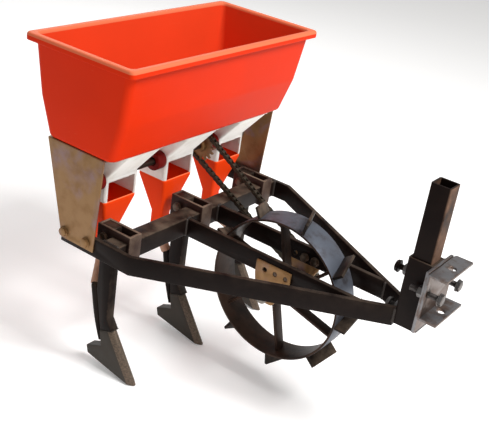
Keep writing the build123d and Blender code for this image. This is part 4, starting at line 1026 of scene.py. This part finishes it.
class SEEDDRILL_OT_fasteners(bpy.types.Operator):
    """Model the bolts, screws and nuts with chamfered heads, washers and threads"""
    bl_idname = "seed_drill.fasteners"
    bl_label = "Fasteners"
    AXES = {                # axis along which each group's bolts lie
        "plate_bolts": 1, "bracket_bolts": 1, "clamp_screws": 1, "hopper_bolts": 2, "hitch_bolts": 0,
        "lock_nuts": 0, "upper_lock_screw": 0, "lower_lock_screw": 0,
    }
    RUSTY = ("bracket_bolts", "clamp_screws")       # these sit low, where soil is thrown at them
    FLATS = 1.5             # a plain head's width across flats is this many bolt diameters
    FLATS_MORE = 2 * MM     # and this much more
    NUT = 1.2               # a solid shorter than this many corner radii is a nut
    HEAD = 0.65             # height of a head, in bolt diameters, as are the sizes down to the tip's
    WASHER = 0.16           # thickness of a washer
    WASHER_REACH = 1.06     # radius of a washer
    WASHER_FACE = 1.0       # radius of a washer's flat face
    WASHER_BORE = 0.52      # radius of a washer's hole
    PITCH = 0.16            # pitch of the thread
    CREST, ROOT = 0.5, 0.43             # radii of the thread
    TIP = 0.36              # radius of the bolt's tip
    CREST_AT, ROOT_AT = 0.35, 0.85      # where a turn of the thread has its crest and root, in pitches
    THREADED = 0.98         # share of the shank that is threaded
    CROWN = 0.95            # radius of a hexagon's flat top, as a share of half its width across flats
    CROWN_ANGLE = radians(30.0)
    FLAT_STEPS = 4          # points along each flat of a hexagon
    ROUND = 18              # points round a thread or washer

    def execute(self, context):
        for node, axis in self.AXES.items():
            bm = bmesh.new()
            for points in solids(node):
                self.fastener(bm, points, axis)
            slot = slot_of[node]
            look = "rusty_zinc" if node in self.RUSTY else slot
            put(bm, f"detailed_{node}", look, body_of[node], slot, [node])
        return {"FINISHED"}

    def fastener(self, bm, points, axis):
        """A nut, or a bolt with its washer and thread, where the plain one lies."""
        low = Vector([min(point[k] for point in points) for k in range(3)])
        high = Vector([max(point[k] for point in points) for k in range(3)])
        middle = (low + high) / 2
        length = high[axis] - low[axis]

        def offset(point):
            away = point - middle
            away[axis] = 0
            return away

        corner = max(points, key=lambda point: offset(point).length)
        hex_radius = offset(corner).length
        way = Vector((0, 0, 0))
        way[axis] = 1.0 if corner[axis] > middle[axis] else -1.0
        across = offset(corner).normalized()
        diameter = (hex_radius * sqrt(3) - self.FLATS_MORE) / self.FLATS
        tip = middle - way * length / 2
        if length < self.NUT * hex_radius:
            self.hexagon(bm, tip, way, across, hex_radius, length, diameter / 2)
            return
        head = self.HEAD * diameter
        washer = self.WASHER * diameter
        shank = length - head
        seat = tip + way * shank
        reach, face, bore = (
            diameter * share for share in (self.WASHER_REACH, self.WASHER_FACE, self.WASHER_BORE))
        skin(bm, self.turned(seat, way, across, [
            (0, bore), (0, face), (washer * 0.25, reach), (washer * 0.75, reach), (washer, face),
            (washer, bore)]), True)
        self.hexagon(bm, seat + way * washer, way, across, hex_radius, head - washer, 0.0)
        pitch = self.PITCH * diameter
        profile = [(0, diameter * self.TIP)]
        for turn in range(int(shank * self.THREADED / pitch)):
            profile.append((pitch * (turn + self.CREST_AT), diameter * self.CREST))
            profile.append((pitch * (turn + self.ROOT_AT), diameter * self.ROOT))
        profile.append((shank + washer * 0.5, diameter * self.CREST))
        capped(bm, self.turned(tip, way, across, profile))

    def turned(self, foot, way, across, profile):
        """Rings of a turned shape, given by heights along its axis and radii."""
        over = way.cross(across)
        return [circle(foot + way * height, across, over, radius, self.ROUND) for height, radius in profile]

    def hexagon(self, bm, foot, way, across, radius, height, bore):
        """A hexagon with its corners chamfered: a nut where it has a bore, or else a head."""
        over = way.cross(across)
        flat = radius * sqrt(3) / 2
        crown = flat * self.CROWN
        low, low_side, seat, side, top, bore_top, bore_low = ([] for _ in range(7))
        for turn in turns(6 * self.FLAT_STEPS):
            within = (turn + pi / 6) % (pi / 3) - pi / 6
            reach = flat / cos(pi / 6 - abs(within))
            way_out = across * cos(turn) + over * sin(turn)
            cut = (reach - crown) * tan(self.CROWN_ANGLE)
            low.append(foot + way_out * crown)
            low_side.append(foot + way_out * reach + way * cut)
            seat.append(foot + way_out * reach)
            side.append(foot + way_out * reach + way * (height - cut))
            top.append(foot + way_out * crown + way * height)
            bore_top.append(foot + way_out * bore + way * height)
            bore_low.append(foot + way_out * bore)
        if bore:
            skin(bm, [low, low_side, side, top, bore_top, bore_low], True)
        else:
            capped(bm, [seat, side, top])


class SEEDDRILL_OT_welds(bpy.types.Operator):
    """Lay weld beads where the bars, the hitch, the wheel and the shares are joined"""
    bl_idname = "seed_drill.welds"
    bl_label = "Weld beads"
    ROUND = 10              # points round a bead
    RIPPLE_STEPS = 4        # rings along each ripple
    END, END_GROWTH = 0.45, 0.25        # thickness at a bead's ends, and how much it gains with each ring
    VALLEY, RIDGE = 0.9, 0.14           # thickness between ripples, and how much they stand up
    LUG_END = 0.04          # share of a lug's foot that is left free at each end
    JOINT = 12 * MM         # height of the joint between a share and its shank

    def execute(self, context):
        drill = context.scene.seed_drill_frame
        self.ripple = drill.ripple
        self.frame_beads(drill.bead)
        self.wheel_beads(drill.lug_bead)
        for row in ROWS:
            self.share_beads(row, drill.share_bead)
        return {"FINISHED"}

    def bead(self, bm, start, end, radius):
        """A rippled bead from one point to another, thin at both ends."""
        count = max(self.RIPPLE_STEPS, int((end - start).length / self.ripple * self.RIPPLE_STEPS))
        centres = [start.lerp(end, step / count) for step in range(count + 1)]

        def swell(place):
            taper = min(1.0, self.END + min(place, count - place) * self.END_GROWTH)
            return taper * (self.VALLEY + self.RIDGE * abs(sin(place * pi / self.RIPPLE_STEPS)))

        tube(bm, centres, radius, sides=self.ROUND, ripple=swell)

    def frame_beads(self, radius):
        """Beads on the toolbar's ends, the wheel arms and the hitch socket."""
        lines = []
        low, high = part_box("toolbar")
        for y in (low.y, high.y):
            for x in (low.x, high.x):
                lines.append(((x, y, low.z), (x, y, high.z)))
            lines.append(((low.x, y, high.z), (high.x, y, high.z)))
        for side in SIDES:
            low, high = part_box(f"{side}_wheel_arm")
            for y in (low.y, high.y):
                lines.append(((low.x, y, low.z), (low.x, y, high.z)))
            lines.append(((low.x, low.y, high.z), (low.x, high.y, high.z)))
            inner = min((low.y, high.y), key=abs)
            lines.append(((high.x, inner, low.z), (high.x, inner, high.z)))
        low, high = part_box("hitch_socket")
        bar_low, bar_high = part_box("right_side_bar")
        plate_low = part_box("hitch_plate")[0]
        for y in (low.y, high.y):
            lines.append(((low.x, y, max(low.z, bar_low.z)), (low.x, y, bar_high.z)))
            lines.append(((high.x, y, plate_low.z), (high.x, y, high.z)))
        bm = bmesh.new()
        for start, end in lines:
            self.bead(bm, Vector(start), Vector(end), radius)
        put(bm, "frame_welds", "welds", "frame", "frame_paint")

    def wheel_beads(self, radius):
        """Beads along both sides of each lug's foot."""
        bm = bmesh.new()
        axle = centre_of("wheel_rim")
        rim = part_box("wheel_rim")[1].z - axle.z
        for points in solids("wheel_lugs"):
            foot = [p for p in points if Vector((p.x - axle.x, p.z - axle.z)).length < rim + MM / 2]
            foot.sort(key=lambda point: point.y)
            for near in foot[:2]:
                far = min(foot[-2:], key=lambda point: (point.xz - near.xz).length)
                self.bead(bm, near.lerp(far, self.LUG_END), far.lerp(near, self.LUG_END), radius)
        put(bm, "wheel_welds", "welds", "ground_wheel", "wheel_paint")

    def share_beads(self, row, radius):
        """A thin bead round the joint of a share and its shank."""
        low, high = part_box(f"tine_shank_{row}")
        points = points_of(f"furrow_share_{row}")
        top = max(point.z for point in points)
        joint = [point for point in points if point.z > top - self.JOINT]
        front = max(joint, key=lambda point: point.x)
        rear = min(joint, key=lambda point: point.x)
        bm = bmesh.new()
        corners = [Vector((spot.x, y, spot.z)) for y in (low.y, high.y) for spot in (rear, front)]
        for first, second in ((0, 1), (2, 3), (1, 3), (0, 2)):
            self.bead(bm, corners[first], corners[second], radius)
        put(bm, f"share_weld_{row}", "shares", f"tine_{row}", "tine_paint")


class SEEDDRILL_OT_stage(bpy.types.Operator):
    """Set up the pale floor, the soft lights and the camera"""
    bl_idname = "seed_drill.stage"
    bl_label = "Stage"
    FLOOR_REACH = 12.0                      # half the floor's width, in metres
    ROOM_COLOUR = (1.0, 0.995, 0.985, 1.0)
    ROOM_STRENGTH = 0.42
    LIGHTS = (                              # name, place, aim, width and power
        ("key", (1.9, 0.2, 2.9), (0, 0, 0.4), 1.2, 122.0),
        ("top", (0.0, 0.2, 3.2), (0, 0, 0.3), 2.4, 12.0),
        ("rear", (-2.4, 1.6, 2.0), (0, 0, 0.4), 1.8, 20.0),
    )
    FROM_RIM = (1.145, -1.446, 0.487)       # camera's place from the middle of the bin's rim, in metres

    def execute(self, context):
        stage = context.scene.seed_drill_stage
        self.floor(context.scene, stage)
        self.lights(context.scene)
        self.camera(context.scene, stage)
        context.scene.view_settings.view_transform = "Standard"
        return {"FINISHED"}

    def floor(self, scene, stage):
        """A wide flat floor at the share tips."""
        reach = self.FLOOR_REACH
        mesh = bpy.data.meshes.new("floor")
        corners = [(-reach, -reach, 0), (reach, -reach, 0), (reach, reach, 0), (-reach, reach, 0)]
        mesh.from_pydata(corners, [], [(0, 1, 2, 3)])
        material, tree, place = new_material("matt_floor", roughness=0.9, emission_strength=0.17)
        grain = add(tree, NOISE, inputs={"Vector": place, "Scale": per(400), "Detail": 2.0})
        add(tree, MIX, COLOURS, {
            FACTOR: grain, FIRST: tint(stage.floor_colour, 0.99), SECOND: tint(stage.floor_colour, 1.01)},
            feeds="Base Color")
        mesh.materials.append(material)
        floor = bpy.data.objects.new("floor", mesh)
        scene.collection.objects.link(floor)

    def lights(self, scene):
        """A white room with a large light high in front, a soft one above and a weaker one behind."""
        world = bpy.data.worlds.new("white_room")
        world.use_nodes = True
        room = world.node_tree.nodes["Background"].inputs
        room["Color"].default_value = self.ROOM_COLOUR
        room["Strength"].default_value = self.ROOM_STRENGTH
        scene.world = world
        for name, place, aim, width, power in self.LIGHTS:
            lamp = bpy.data.lights.new(name, "AREA")
            lamp.size = width
            lamp.energy = power
            holder = bpy.data.objects.new(name, lamp)
            holder.location = place
            holder.rotation_euler = (Vector(aim) - Vector(place)).to_track_quat("-Z", "Y").to_euler()
            scene.collection.objects.link(holder)

    def camera(self, scene, stage):
        """The camera where the picture was taken, in front of the right-hand side."""
        lens = bpy.data.cameras.new("camera")
        lens.lens = stage.lens
        camera = bpy.data.objects.new("camera", lens)
        rim = Vector((centre_of("hopper").x, 0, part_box("hopper")[1].z))
        camera.location = rim + Vector(self.FROM_RIM)
        back = Vector((sin(stage.azimuth) * cos(stage.elevation),
                       -cos(stage.azimuth) * cos(stage.elevation), sin(stage.elevation)))
        camera.rotation_mode = "QUATERNION"
        level = (-back).to_track_quat("-Z", "Y")
        camera.rotation_quaternion = level @ Quaternion((0, 0, 1), stage.roll)
        scene.collection.objects.link(camera)
        scene.camera = camera


class SEEDDRILL_PT_panel(bpy.types.Panel):
    """Steps and settings of the seed drill"""
    bl_idname = "SEEDDRILL_PT_panel"
    bl_label = "Seed drill"
    bl_space_type = "VIEW_3D"
    bl_region_type = "UI"
    bl_category = "Seed drill"

    def draw(self, context):
        for operator in OPERATORS:
            self.layout.operator(operator.bl_idname)
        for name, group in SETTINGS.items():
            box = self.layout.box()
            for field in group.__annotations__:
                box.prop(getattr(context.scene, name), field)


SETTINGS = {
    "seed_drill_bin": BinSettings,
    "seed_drill_frame": FrameSettings,
    "seed_drill_chain": ChainSettings,
    "seed_drill_hose": HoseSettings,
    "seed_drill_stage": StageSettings,
}
OPERATORS = (
    SEEDDRILL_OT_stage, SEEDDRILL_OT_hopper, SEEDDRILL_OT_frame, SEEDDRILL_OT_metering_units,
    SEEDDRILL_OT_hoses, SEEDDRILL_OT_tines, SEEDDRILL_OT_chain_drive, SEEDDRILL_OT_ground_wheel,
    SEEDDRILL_OT_hitch, SEEDDRILL_OT_fasteners, SEEDDRILL_OT_welds,
)


def register():
    """Register the settings, the operators and the panel."""
    for name, group in SETTINGS.items():
        bpy.utils.register_class(group)
        setattr(bpy.types.Scene, name, PointerProperty(type=group))
    for operator in OPERATORS:
        bpy.utils.register_class(operator)
    bpy.utils.register_class(SEEDDRILL_PT_panel)


def unregister():
    """Take out what register put in."""
    bpy.utils.unregister_class(SEEDDRILL_PT_panel)
    for operator in reversed(OPERATORS):
        bpy.utils.unregister_class(operator)
    for name, group in SETTINGS.items():
        delattr(bpy.types.Scene, name)
        bpy.utils.unregister_class(group)


def main():
    """Make every piece."""
    register()
    for operator in OPERATORS:
        family, step = operator.bl_idname.split(".")
        getattr(getattr(bpy.ops, family), step)()


if __name__ == "__main__":
    main()
